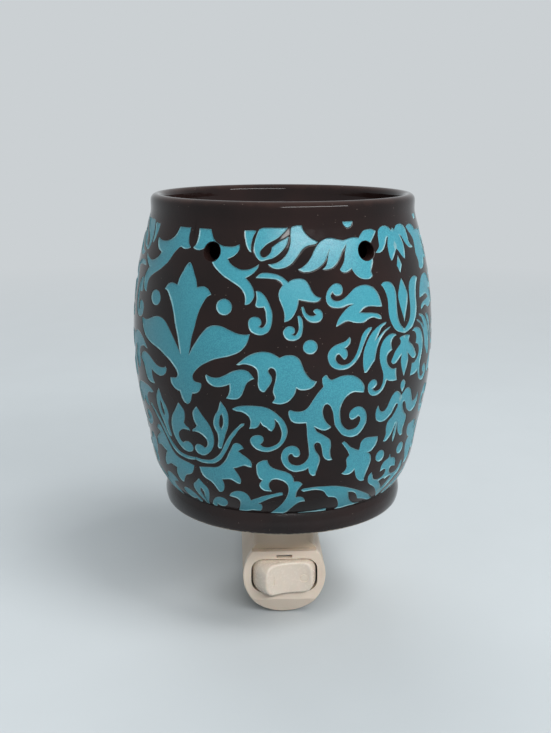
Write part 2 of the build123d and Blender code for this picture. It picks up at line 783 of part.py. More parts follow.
def make_blade_neutral():
    """The wide blade, joined to the slip ring round the swivel axis."""
    _, neutral = blade_slots(0)
    ring = y_cylinder(ring_outer_radius, strip_back_y, disc_back_y)
    ring -= y_cylinder(ring_inner_radius, strip_back_y - overrun, disc_back_y + overrun)
    inner = (blade_spacing - blade_thickness) / 2
    half = blade_neutral_width / 2
    tab = block(-ring_middle_radius, -inner, strip_back_y, disc_back_y, -half, half)
    return blade(neutral) + ring + (tab & y_cylinder(ring_outer_radius, strip_back_y, disc_back_y))


def make_contact_carrier():
    """The insulator behind the plug face: a wall with wiper slots and a rim cut back for the stop pin."""
    carrier = y_cylinder(fit_radius, carrier_front_y, carrier_rear_y)
    carrier += y_cylinder(carrier_flange_radius, carrier_front_y, carrier_wall_y)
    carrier -= y_cylinder(carrier_rim_inside, carrier_wall_y, 0)
    cut_front = disc_back_y - stop_pin_length - carrier_gap
    stop = -stop_pin_radius - running_clearance
    carrier -= block(-barrel_radius, barrel_radius, cut_front, 0, stop, barrel_radius)
    slot = bent_slot(wiper_thickness, wiper_width, wiper_bend)
    live_slot = Pos(-live_wiper_slot, 0) * Rot(0, 0, 180) * slot
    neutral_slot = Pos(-neutral_wiper_place, neutral_wiper_place) * Rot(0, 0, 90) * slot
    for outline in (live_slot, neutral_slot):
        carrier -= y_prism(outline, carrier_front_y - overrun, carrier_wall_y + overrun)
    return carrier


def wiper_points(slot, tail_length, ramp, touch_y):
    """A wiper's bends as distance along its plane and place along the plug axis."""
    tail = carrier_front_y - wiper_thickness / 2
    knee = carrier_wall_y + wiper_thickness
    touch = touch_y - seat_clearance - wiper_thickness / 2
    foot = [(slot - tail_length, tail), (slot, tail), (slot, knee)]
    return foot + [(slot + ramp, touch), (slot + ramp + wiper_tip, touch)]


def make_wiper_live():
    """The leaf that rides on the live button: its tail lies on the carrier's front."""
    folded = wiper_points(live_wiper_slot, wiper_tail, 0, button_tip_y)
    tail = [(-x, y, 0) for x, y in folded[:3]]
    touch = folded[3][1]
    points = tail + [(-live_wiper_slot + wiper_ramp, touch, 0), (wiper_tip, touch, 0)]
    path = FilletPolyline(*points, radius=wiper_bend)
    return strip(path, wiper_width, wiper_thickness, (0, 0, 1))


def make_wiper_neutral():
    """The leaf that rides on the slip ring."""
    points = wiper_points(neutral_wiper_place, neutral_wiper_tail, neutral_ramp, strip_back_y)
    path = FilletPolyline(*[(-neutral_wiper_place, y, z) for z, y in points], radius=wiper_bend)
    return strip(path, wiper_width, wiper_thickness, (1, 0, 0))


def make_socket_body():
    """The lampholder's insulator: a flange held in the collar, a floor with two slots, and a bore."""
    body = z_cylinder(socket_radius, socket_z, socket_top_z)
    body += z_cylinder(socket_flange_radius, socket_z, flange_top_z)
    body -= z_cylinder(socket_bore_radius, socket_floor_z, socket_top_z + overrun)
    body -= z_cylinder(socket_bore_radius + socket_mouth_gap, lamp_base_top_z, socket_top_z + overrun)
    slot = Rot(0, 0, 180) * bent_slot(contact_thickness, contact_width, contact_bend)
    for x in (contact_slot_reach, -shell_tab_place()):
        body -= z_prism(Pos(x, pot_y) * slot, socket_z - overrun, socket_floor_z + overrun)
    return body


def shell_tab_place():
    """Distance from the axis of the screw shell's tab, which hangs from the shell's wall."""
    return socket_bore_radius - seat_clearance - contact_thickness / 2


def thread_wave(outer):
    """A wavy line for one screw thread, drawn as rings: high and low by turns up the lamp's base."""
    half_turns = int(2 * lamp_base_height / lamp_thread_pitch)
    points = []
    for i in range(half_turns + 1):
        depth = lamp_thread_depth if i % 2 else 0
        points.append((outer - depth, lamp_base_z + i * lamp_thread_pitch / 2))
    return Spline(*points)


def make_socket_shell():
    """The screw shell: threaded inside, plain outside, with a tab down through the floor."""
    wave = thread_wave(lamp_base_radius + thread_clearance)
    outside = socket_bore_radius - seat_clearance
    low, high = (wave @ 0), (wave @ 1)
    rest = Polyline(
        (high.X, high.Y), (high.X, lamp_base_top_z), (outside, lamp_base_top_z),
        (outside, socket_floor_z), (low.X, socket_floor_z), (low.X, low.Y),
    )
    shell = turned([wave, rest])
    place = -shell_tab_place()
    tab_z = socket_z - contact_thickness / 2
    path = FilletPolyline(
        (place, pot_y, socket_floor_z + overrun),
        (place, pot_y, tab_z),
        (place + contact_tab_length, pot_y, tab_z),
        radius=contact_bend,
    )
    tab = strip(path, contact_width, contact_thickness, (0, 1, 0))
    return shell + (tab & z_cylinder(outside, socket_z - overrun, lamp_base_z))


def make_socket_center_contact():
    """The leaf under the lamp's button: tab below the floor, leg through it, leaf across the axis."""
    tab_z = socket_z - contact_thickness / 2
    leaf_z = contact_top_z - contact_thickness / 2
    path = FilletPolyline(
        (contact_slot_reach + contact_tab_length, pot_y, tab_z),
        (contact_slot_reach, pot_y, tab_z),
        (contact_slot_reach, pot_y, leaf_z),
        (-contact_slot_reach, pot_y, leaf_z + contact_rise),
        radius=contact_bend,
    )
    return strip(path, contact_width, contact_thickness, (0, 1, 0))


def glass_outline(inset):
    """The bulb's side from its neck to its tip, drawn inwards by inset."""
    height = lamp_top_z - glass_z
    neck = (lamp_neck_radius - inset, glass_z)
    middle = [(lamp_glass_radius * r - inset, glass_z + height * h) for r, h in glass_shares]
    tip = (0, lamp_top_z - inset)
    return Spline(neck, *middle, tip, tangents=[(glass_tip_share, 1), (-1, 0)])


def make_bulb_glass():
    """The blown bulb, open at the bottom of its neck."""
    outer, inner = glass_outline(0), glass_outline(lamp_glass_wall)
    neck_out = Line((lamp_neck_radius, lamp_neck_z), outer @ 0)
    foot = Line((lamp_neck_radius - lamp_glass_wall, lamp_neck_z), (lamp_neck_radius, lamp_neck_z))
    neck_in = Line(inner @ 0, (lamp_neck_radius - lamp_glass_wall, lamp_neck_z))
    return turned([neck_out, outer, Line(outer @ 1, inner @ 1), inner, neck_in, foot])


def lamp_base_inside():
    """The bore of the lamp's base, just clear of the glass neck."""
    return lamp_neck_radius + seat_clearance


def make_bulb_screw_base():
    """The threaded base, turned in at the bottom to hold the insulator."""
    wave = thread_wave(lamp_base_radius)
    low, high = (wave @ 0), (wave @ 1)
    inside = lamp_base_inside()
    lip = insulator_z + lamp_insulator_lip
    seat = lamp_button_radius + lamp_insulator_lip
    rest = Polyline(
        (high.X, high.Y), (high.X, lamp_base_top_z), (inside, lamp_base_top_z),
        (inside, lamp_base_z + lamp_base_skin), (seat + lamp_base_skin, lip + lamp_base_skin),
        (seat + lamp_base_skin, lip), (low.X, low.Y),
    )
    return turned([wave, rest])


def make_bulb_insulator():
    """The black glass round the lamp's button."""
    outer = lamp_button_radius + lamp_insulator_lip + lamp_base_skin
    low = insulator_z + lamp_insulator_lip
    top = low + lamp_base_skin
    return turned(Polyline(
        (0, insulator_z), (lamp_button_radius, insulator_z), (outer, low), (outer, top), (0, top), close=True,
    ))


def make_bulb_contact():
    button = z_cylinder(lamp_button_radius, lamp_z, insulator_z)
    low = button.edges().filter_by(GeomType.CIRCLE).sort_by(Axis.Z)[0]
    return fillet(low, lamp_button_height / 2)


def make_bulb_stem():
    """The glass foot inside the neck that carries the lead wires."""
    foot = lamp_neck_radius - lamp_glass_wall - seat_clearance
    top = lamp_neck_z + lamp_stem_height
    return turned(Polyline(
        (0, lamp_neck_z), (foot, lamp_neck_z), (lamp_stem_radius, lamp_neck_z + lamp_neck_height),
        (lamp_stem_radius, top), (0, top), close=True,
    ))


def make_bulb_lead_wires():
    """Two stiff wires from the stem out to the filament's ends."""
    low = lamp_neck_z + lamp_stem_height
    high = low + lamp_wire_rise
    wires = []
    for side in (-1, 1):
        near, far = side * lamp_wire_offset, side * lamp_filament_radius
        points = [
            (near, pot_y, low), (near, pot_y, low + lamp_wire_end),
            (far, pot_y, high - lamp_wire_end), (far, pot_y, high),
        ]
        wires.append(wire(points, lamp_wire_radius, lamp_wire_bend))
    return Compound(wires)


def make_bulb_filament():
    radius = lamp_filament_radius
    low = lamp_neck_z + lamp_stem_height + lamp_wire_rise
    arch = ThreePointArc((-radius, pot_y, low), (0, pot_y, low + radius), (radius, pot_y, low))
    return sweep(Plane(arch @ 0, z_dir=arch % 0) * Circle(lamp_wire_radius), path=arch)


def make_lead_live():
    """From the live wiper's tail to the switch's common terminal."""
    x = -(live_wiper_slot - wiper_tail / 2)
    points = [(x, tail_y, 0), (x, tab_y, 0), (-terminal_thickness / 2, tab_y, 0)]
    return wire(points, wire_radius, min(wire_bend, -x - terminal_thickness / 2))


def make_lead_switched():
    """From the switch's load terminal up the neck to the lampholder's centre contact."""
    start = terminal_reach - terminal_thickness / 2
    end_z = socket_z - contact_thickness
    x = switched_wire_offset
    points = [
        (start, tab_y, 0), (x, tab_y, 0), (x, tab_y, end_z * 2 / 5),
        (x, pot_y, end_z * 7 / 10), (x, pot_y, end_z),
    ]
    return wire(points, wire_radius, min(wire_bend, (start - x) * 4 / 5))


def make_lead_neutral():
    """From the neutral wiper's tail along the plug body and up the neck to the screw shell's tab."""
    x, z = -neutral_wiper_place, neutral_wiper_place - neutral_wiper_tail / 2
    points = [(x, tail_y, z), (x, pot_y, z), (x, pot_y, socket_z - contact_thickness)]
    return wire(points, wire_radius, wire_bend)


def build_parts():
    """Every node of the warmer, by name."""
    left, right = make_housing()
    parts = {
        "ceramic_shade": make_ceramic_shade(),
        "shade_gasket": make_shade_gasket(),
        "base_plate": make_base_plate(),
        "clip_screws": make_clip_screws(),
        "housing_left": left,
        "housing_right": right,
        "housing_screws": make_housing_screws(),
        "switch_bezel": make_switch_bezel(),
        "switch_body": make_switch_body(),
        "switch_rocker": make_switch_rocker(),
        "switch_plunger": make_switch_plunger(),
        "switch_spring": make_switch_spring(),
        "switch_seesaw": make_switch_seesaw(),
        "switch_common_terminal": make_switch_common_terminal(),
        "switch_load_terminal": make_switch_load_terminal(),
        "plug_disc": make_plug_disc(),
        "blade_live": make_blade_live(),
        "blade_neutral": make_blade_neutral(),
        "contact_carrier": make_contact_carrier(),
        "wiper_live": make_wiper_live(),
        "wiper_neutral": make_wiper_neutral(),
        "socket_body": make_socket_body(),
        "socket_shell": make_socket_shell(),
        "socket_center_contact": make_socket_center_contact(),
        "bulb_glass": make_bulb_glass(),
        "bulb_screw_base": make_bulb_screw_base(),
        "bulb_insulator": make_bulb_insulator(),
        "bulb_contact": make_bulb_contact(),
        "bulb_stem": make_bulb_stem(),
        "bulb_lead_wires": make_bulb_lead_wires(),
        "bulb_filament": make_bulb_filament(),
        "lead_live": make_lead_live(),
        "lead_switched": make_lead_switched(),
        "lead_neutral": make_lead_neutral(),
    }
    for i, turn in enumerate(clip_turns()):
        parts[f"spring_clip_{i + 1}"] = make_spring_clip(turn)
    return parts


os.makedirs("parts", exist_ok=True)
for name, solid in build_parts().items():
    export_step(solid, f"parts/{name}.step")
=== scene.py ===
import math

import bpy
import bmesh
import numpy as np
from mathutils import Euler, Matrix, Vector
from mathutils.geometry import delaunay_2d_cdt
from mathutils.kdtree import KDTree


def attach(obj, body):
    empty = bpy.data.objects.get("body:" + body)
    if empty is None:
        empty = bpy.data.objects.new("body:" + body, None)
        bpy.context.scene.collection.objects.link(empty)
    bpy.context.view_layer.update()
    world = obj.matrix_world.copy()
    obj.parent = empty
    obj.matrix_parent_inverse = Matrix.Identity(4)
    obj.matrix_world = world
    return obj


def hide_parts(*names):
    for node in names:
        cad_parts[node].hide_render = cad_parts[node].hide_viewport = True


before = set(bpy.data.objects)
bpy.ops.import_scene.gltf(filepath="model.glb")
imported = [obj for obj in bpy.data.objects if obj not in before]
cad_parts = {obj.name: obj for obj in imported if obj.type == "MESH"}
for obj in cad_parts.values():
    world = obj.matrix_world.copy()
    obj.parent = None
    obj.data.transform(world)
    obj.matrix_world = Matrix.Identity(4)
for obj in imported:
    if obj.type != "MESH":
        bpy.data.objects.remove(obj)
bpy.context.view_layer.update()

# Sizes of the shade's section, in millimetres, the same as the solid's
MM = 0.001
POT_Y = -57.0
FOOT_Z = 23.0
BELLY_RADIUS = 46.0
SHADE_HEIGHT = 95.6
SHADE_WALL = 3.2
CREST_Z = FOOT_Z + SHADE_HEIGHT
RIM_WIDTH = 3.7
RIM_Z = CREST_Z - RIM_WIDTH / 2
RIM_OUTER = 39.698
RIM_INNER = RIM_OUTER - RIM_WIDTH
WAIST_Z = FOOT_Z + 6.5
COLLAR_Z = FOOT_Z + SHADE_HEIGHT * 0.945
FOOT_EDGE_RADIUS = BELLY_RADIUS * 0.797
FOOT_BEAD_RADIUS = BELLY_RADIUS * 0.811
FOOT_BEAD_Z = FOOT_Z + 3.2
FOOT_INNER = BELLY_RADIUS * 0.792 - SHADE_WALL
FLOOR_Z = 26.6
FLOOR_TOP_Z = 30.6
OPENING_RADIUS = 24.5
DISH_FLOOR_Z = 99.55
DISH_FLOOR_RADIUS = RIM_INNER / 2
VENT_Z = CREST_Z - 13.4
VENT_RADIUS = 2.45
VENT_ANGLES = (-150, -90, -30, 30, 90, 150)
VENT_LIP = 0.3
# radii about a vent's axis: the hole's edge, what is cut away, what is bent in, the plain ring,
# and how far out the edge's points are looked for
VENT_HOLE = VENT_RADIUS + 0.09
VENT_CUT = VENT_RADIUS + 0.08
VENT_BEND = VENT_RADIUS + 0.15
VENT_RING = VENT_RADIUS + VENT_LIP * 0.97
VENT_NEAR = VENT_RADIUS + 1.2 * VENT_LIP
VENT_DROP = 0.1
VENT_POINTS = 30
VENT_REACH_DEGREES = 45
HOLLOW_TOP_Z = VENT_Z + VENT_RADIUS + 0.8
# how softly the belly runs into the collar, and how round the foot's edge is
CREASE = 0.5
FOOT_ROUND = 0.5
# in degrees, and in metres
SHARP_ANGLE = 38
MERGE_DISTANCE = 2e-6
# how finely the turned parts are cut
WALL_RINGS = 14
COLLAR_RINGS = 6
RIM_STEPS = 14
DISH_STEPS = 22
FOOT_STEPS = 12
CEILING_STEPS = 14
# height share, radius share: the side's points from the waist to the collar
SIDE_SHARES = (
    (0.068, 0.792), (0.115, 0.852), (0.24, 0.917), (0.40, 0.981),
    (0.54, 1.0), (0.73, 0.971), (0.88, 0.902), (0.945, 0.859),
)

# The sunk ornament: widths, depths and steps in millimetres
RECESS = 0.32
WALL_WIDTH = 0.24
LIP_WIDTH = 0.36
LIP_DROP = 0.07
# distances from the outlines that count as on the line, on the wall and on the lip
ON_LINE = 0.002
AT_WALL = WALL_WIDTH * 0.85
AT_LIP = LIP_WIDTH * 0.9
# for the lines beside an outline: where its sides are tested, and what is kept of them
PROBE = 0.06
KEPT_SHARE = 0.93
MITRE_LIMIT = 1.6
BAND_MARGIN = 0.05
OUTLINE_STEP = 0.6
DOT_POINTS = 22
CDT_SLACK = 1e-5
COLUMNS = 60
GRID_STEP = 2.1
GRID_GAP = 0.42 * GRID_STEP
# the same for the hollow's wall, where the vents come out
INNER_ROWS = 5
INNER_STEP = 1.5 * GRID_STEP
INNER_GAP = 0.6 * GRID_STEP
# how deep the vents' straight tubes start, and what counts as level with the plain side
TUBE_START = RECESS + 0.25
LEVEL_SLACK = LIP_DROP / 20

# The ornament is laid out flat: FLAT_SCALE millimetres for a degree round the shade
FLAT_SCALE = 0.8
LEFT_AXIS = -39.0
RIGHT_AXIS = 46.0
FRONT_SPAN = RIGHT_AXIS - LEFT_AXIS
SIDE_SPAN = (360 - FRONT_SPAN) / 3
# start angle and span of each band round the shade, and whether the ornament is mirrored in it
BANDS = ((LEFT_AXIS, FRONT_SPAN, False),) + tuple(
    (RIGHT_AXIS + i * SIDE_SPAN, SIDE_SPAN, i % 2 == 0) for i in range(3)
)

# What a face's normals follow, and its material
PLAIN, SMOOTH, WALL = 0, 1, 2
BROWN, TEAL, EDGE, FOOT = 0, 1, 2, 3

# The room: colour of floor and backdrop, heights and distances in metres, brightness of walls and ceiling
BACKDROP = "CBD0D3"
FLOOR_LEVEL = -13.6 * MM
FLOOR_SIZE = 6.0
NEAR_FLOOR = 0.22
FAR_FLOOR = 0.75
WALL_LIGHT = 0.12
CEILING_LIGHT = 0.6
# the upward share of the view where the walls end and where the ceiling is reached
WALL_END, CEILING_START = -0.1, 0.85

# The photograph's viewpoint, in metres, degrees and millimetres of lens
CAMERA_PLACE = (-0.0155, -0.3626, 0.1394)
CAMERA_TURN = (76.2, 0, -2.5)
CAMERA_LENS = 49.11

# The ornament's outlines: angle from the front and height, with | after each corner.
# Those of the first group end on the left axis, those of the second on the right one; the rest close.
LEFT_HALVES = (
    # lily on the axis
    """-39 102,-38.4 101.8,-37.2 100.5,-36.4 99.3,-35.2 97.5,-34.5 95.6|-33.6 95.8,-31.8 96,-30 95.5,
    -28.4 94|-30 93.3,-31.4 91.8,-32.7 89.9,-33.8 87.5,-34.6 85,-35.9 81.6,-36.6 78.6,-37.1 76.9|
    -35.5 79.1,-33.6 81.3,-31.8 83.2,-29.6 85,-27.8 85.7,-25.6 85.9,-23.4 85.6,-20.4 84.7,-18.2 84.1,
    -16 83.9,-13.9 84.1|-14.3 82.8,-15.3 81,-16.9 79.5,-18.9 78.5,-21.9 77.6,-24.8 77,-27.4 76.3,
    -29.6 75.4,-31.8 74.4,-34 72.9,-35.3 71.6,-35.7 70.6,-35.1 69.7,-32.2 69.3|-32.1 68.6,-32.5 67.6,
    -33.5 66.6,-34.9 66,-36.2 65.85|-36.5 65.1,-37 63.9,-37.7 62.9,-38.8 62.4,-39 62.4""",
    # long bowl stem
    """-39 45.9,-36.6 45.65,-33.6 45.8,-31.07 46.2,-28.9 47.3,-27.03 48.7,-25.6 50.5,-24.3 52.3,
    -22.6 54.3,-20.8 56.1,-18.9 57.6,-17.5 58.65,-16.4 58.8|-16.55 58.2,-17.5 57.6,-18.9 56.4,
    -20.04 55.06,-21.5 53.6,-22.8 51.7,-24.1 49.9,-25.6 48.15,-27.4 46.5,-29.6 45.35,-32.2 44.8,
    -35.1 44.6,-37.7 44.8,-39 45.06""",
    # bud at the foot, with its eye
    """-39 38.9,-38.2 38.3,-37 37.3,-35.6 36.3,-35.1 35.2,-35.3 33.8,-36.1 32.3,-37.1 30.9,-37.9 29.8,
    -38.2 28.9|-39 28.9""",
    """-39 35.4,-38.3 34.6,-38.2 33.5,-38.6 32.3,-39 31.4""",
)
RIGHT_HALVES = (
    # top blossom
    """46 110.6,44.9 109.95|44.7 110.2,43.25 111.06,41 111.4,38.8 111.1,37.4 110.3,36.7 109,36.6 107.5,
    36.3 106.06,35.2 105.2,34.06 104.5|35.9 104.4,37.7 104.8,39.2 105.8,40.3 106.9,41.2 108,42.1 108.4|
    41.6 107.4,41.04 106.06,41 104.6,41.2 103.1,41.96 101.8|42.9 102.4,44 103.3,45.1 104.3,46 104.9""",
    """46 103.1,45.3 101.9,44.5 100.5|45.3 99.3,46 98.3""",
    # open tulip and its heart
    """46 82.7,44.9 83.2,43.7 84.1,42.6 85.6,42.1 87.4,42 89.5,42.05 91.6,41.9 93.7,41.1 95.2,39.7 96.2,
    37.8 96.6,36 96.5,34.8 95.9|35.9 94.9,37 93.1,37.55 91,37.5 89,37.75 87.1,38.5 85.4,39.8 83.8,
    41.4 82.6,43.3 82,46 81.4""",
    """46 96.8,45.1 95.8,44 94,43.2 92.2,43.6 90.2,44.5 88.1,45.5 86.1,46 84.6""",
    # leaf pair under the tulip
    """46 80.85,44 80.7,42.9 80.4|43.6 79.4,43.4 78.7,42.1 77.9,40.7 76.9,39.4 75.4,38.5 74.1|39.4 73.35,
    41.04 73.5,42.5 74.4,44.2 75.56|43.9 73.65,44.35 71.9,45.3 70.1,46 68.9""",
    """46 67.9,45.2 67.6,44.6 66.5,45 65.4,46 64.1""",
    # hanging blossom
    """46 63.2,44.7 64.2,43.25 64.9,41.8 64.8,40.3 63.8,39.2 62.2,38.1 60.4,36.6 59.7,35.2 60.1,
    34.06 61.3,33.7 62|33.1 61,32.96 59.2,33.7 57.6,35.5 56.7,37.7 56.6,39.6 57.3,41.4 58.5,42.5 60.1,
    43.6 61,44.5 60.7,44.35 59.8,43.6 58.65,42.1 57.03|41.4 56.8,40.1 55.65,39.9 54.2,40.5 52.1,40.1 50.5,
    39.8 49.9|41.04 49.6,42.5 50.35,43.8 51.5,44.7 53,45.5 54.8|45.3 52.7,45.2 51,45.5 49.6,46 48.6""",
    # foot blossom, with its eye
    """46 44.8,45.3 43.6,44.2 43.3,42.6 42.9,41.4 41.8,41 39.9|42.1 40.2,43.6 40.4,44.7 39.9,44.5 38.8,
    43.1 37.7,40.9 37.3,38.9 37.5,37.4 38.4,36.6 39.8,35.9 40.7|34.7 39.9,34.4 38.8,35 37.4,36.4 36.2,
    38.5 35.2,40.7 33.9,42.9 32.1,44.5 30.7,45.6 29.6,46 29.3""",
    """46 32.6,44.6 33.9,43 35.3,41.6 36.4|43 36.8,44.6 36.8,46 36.2""",
)
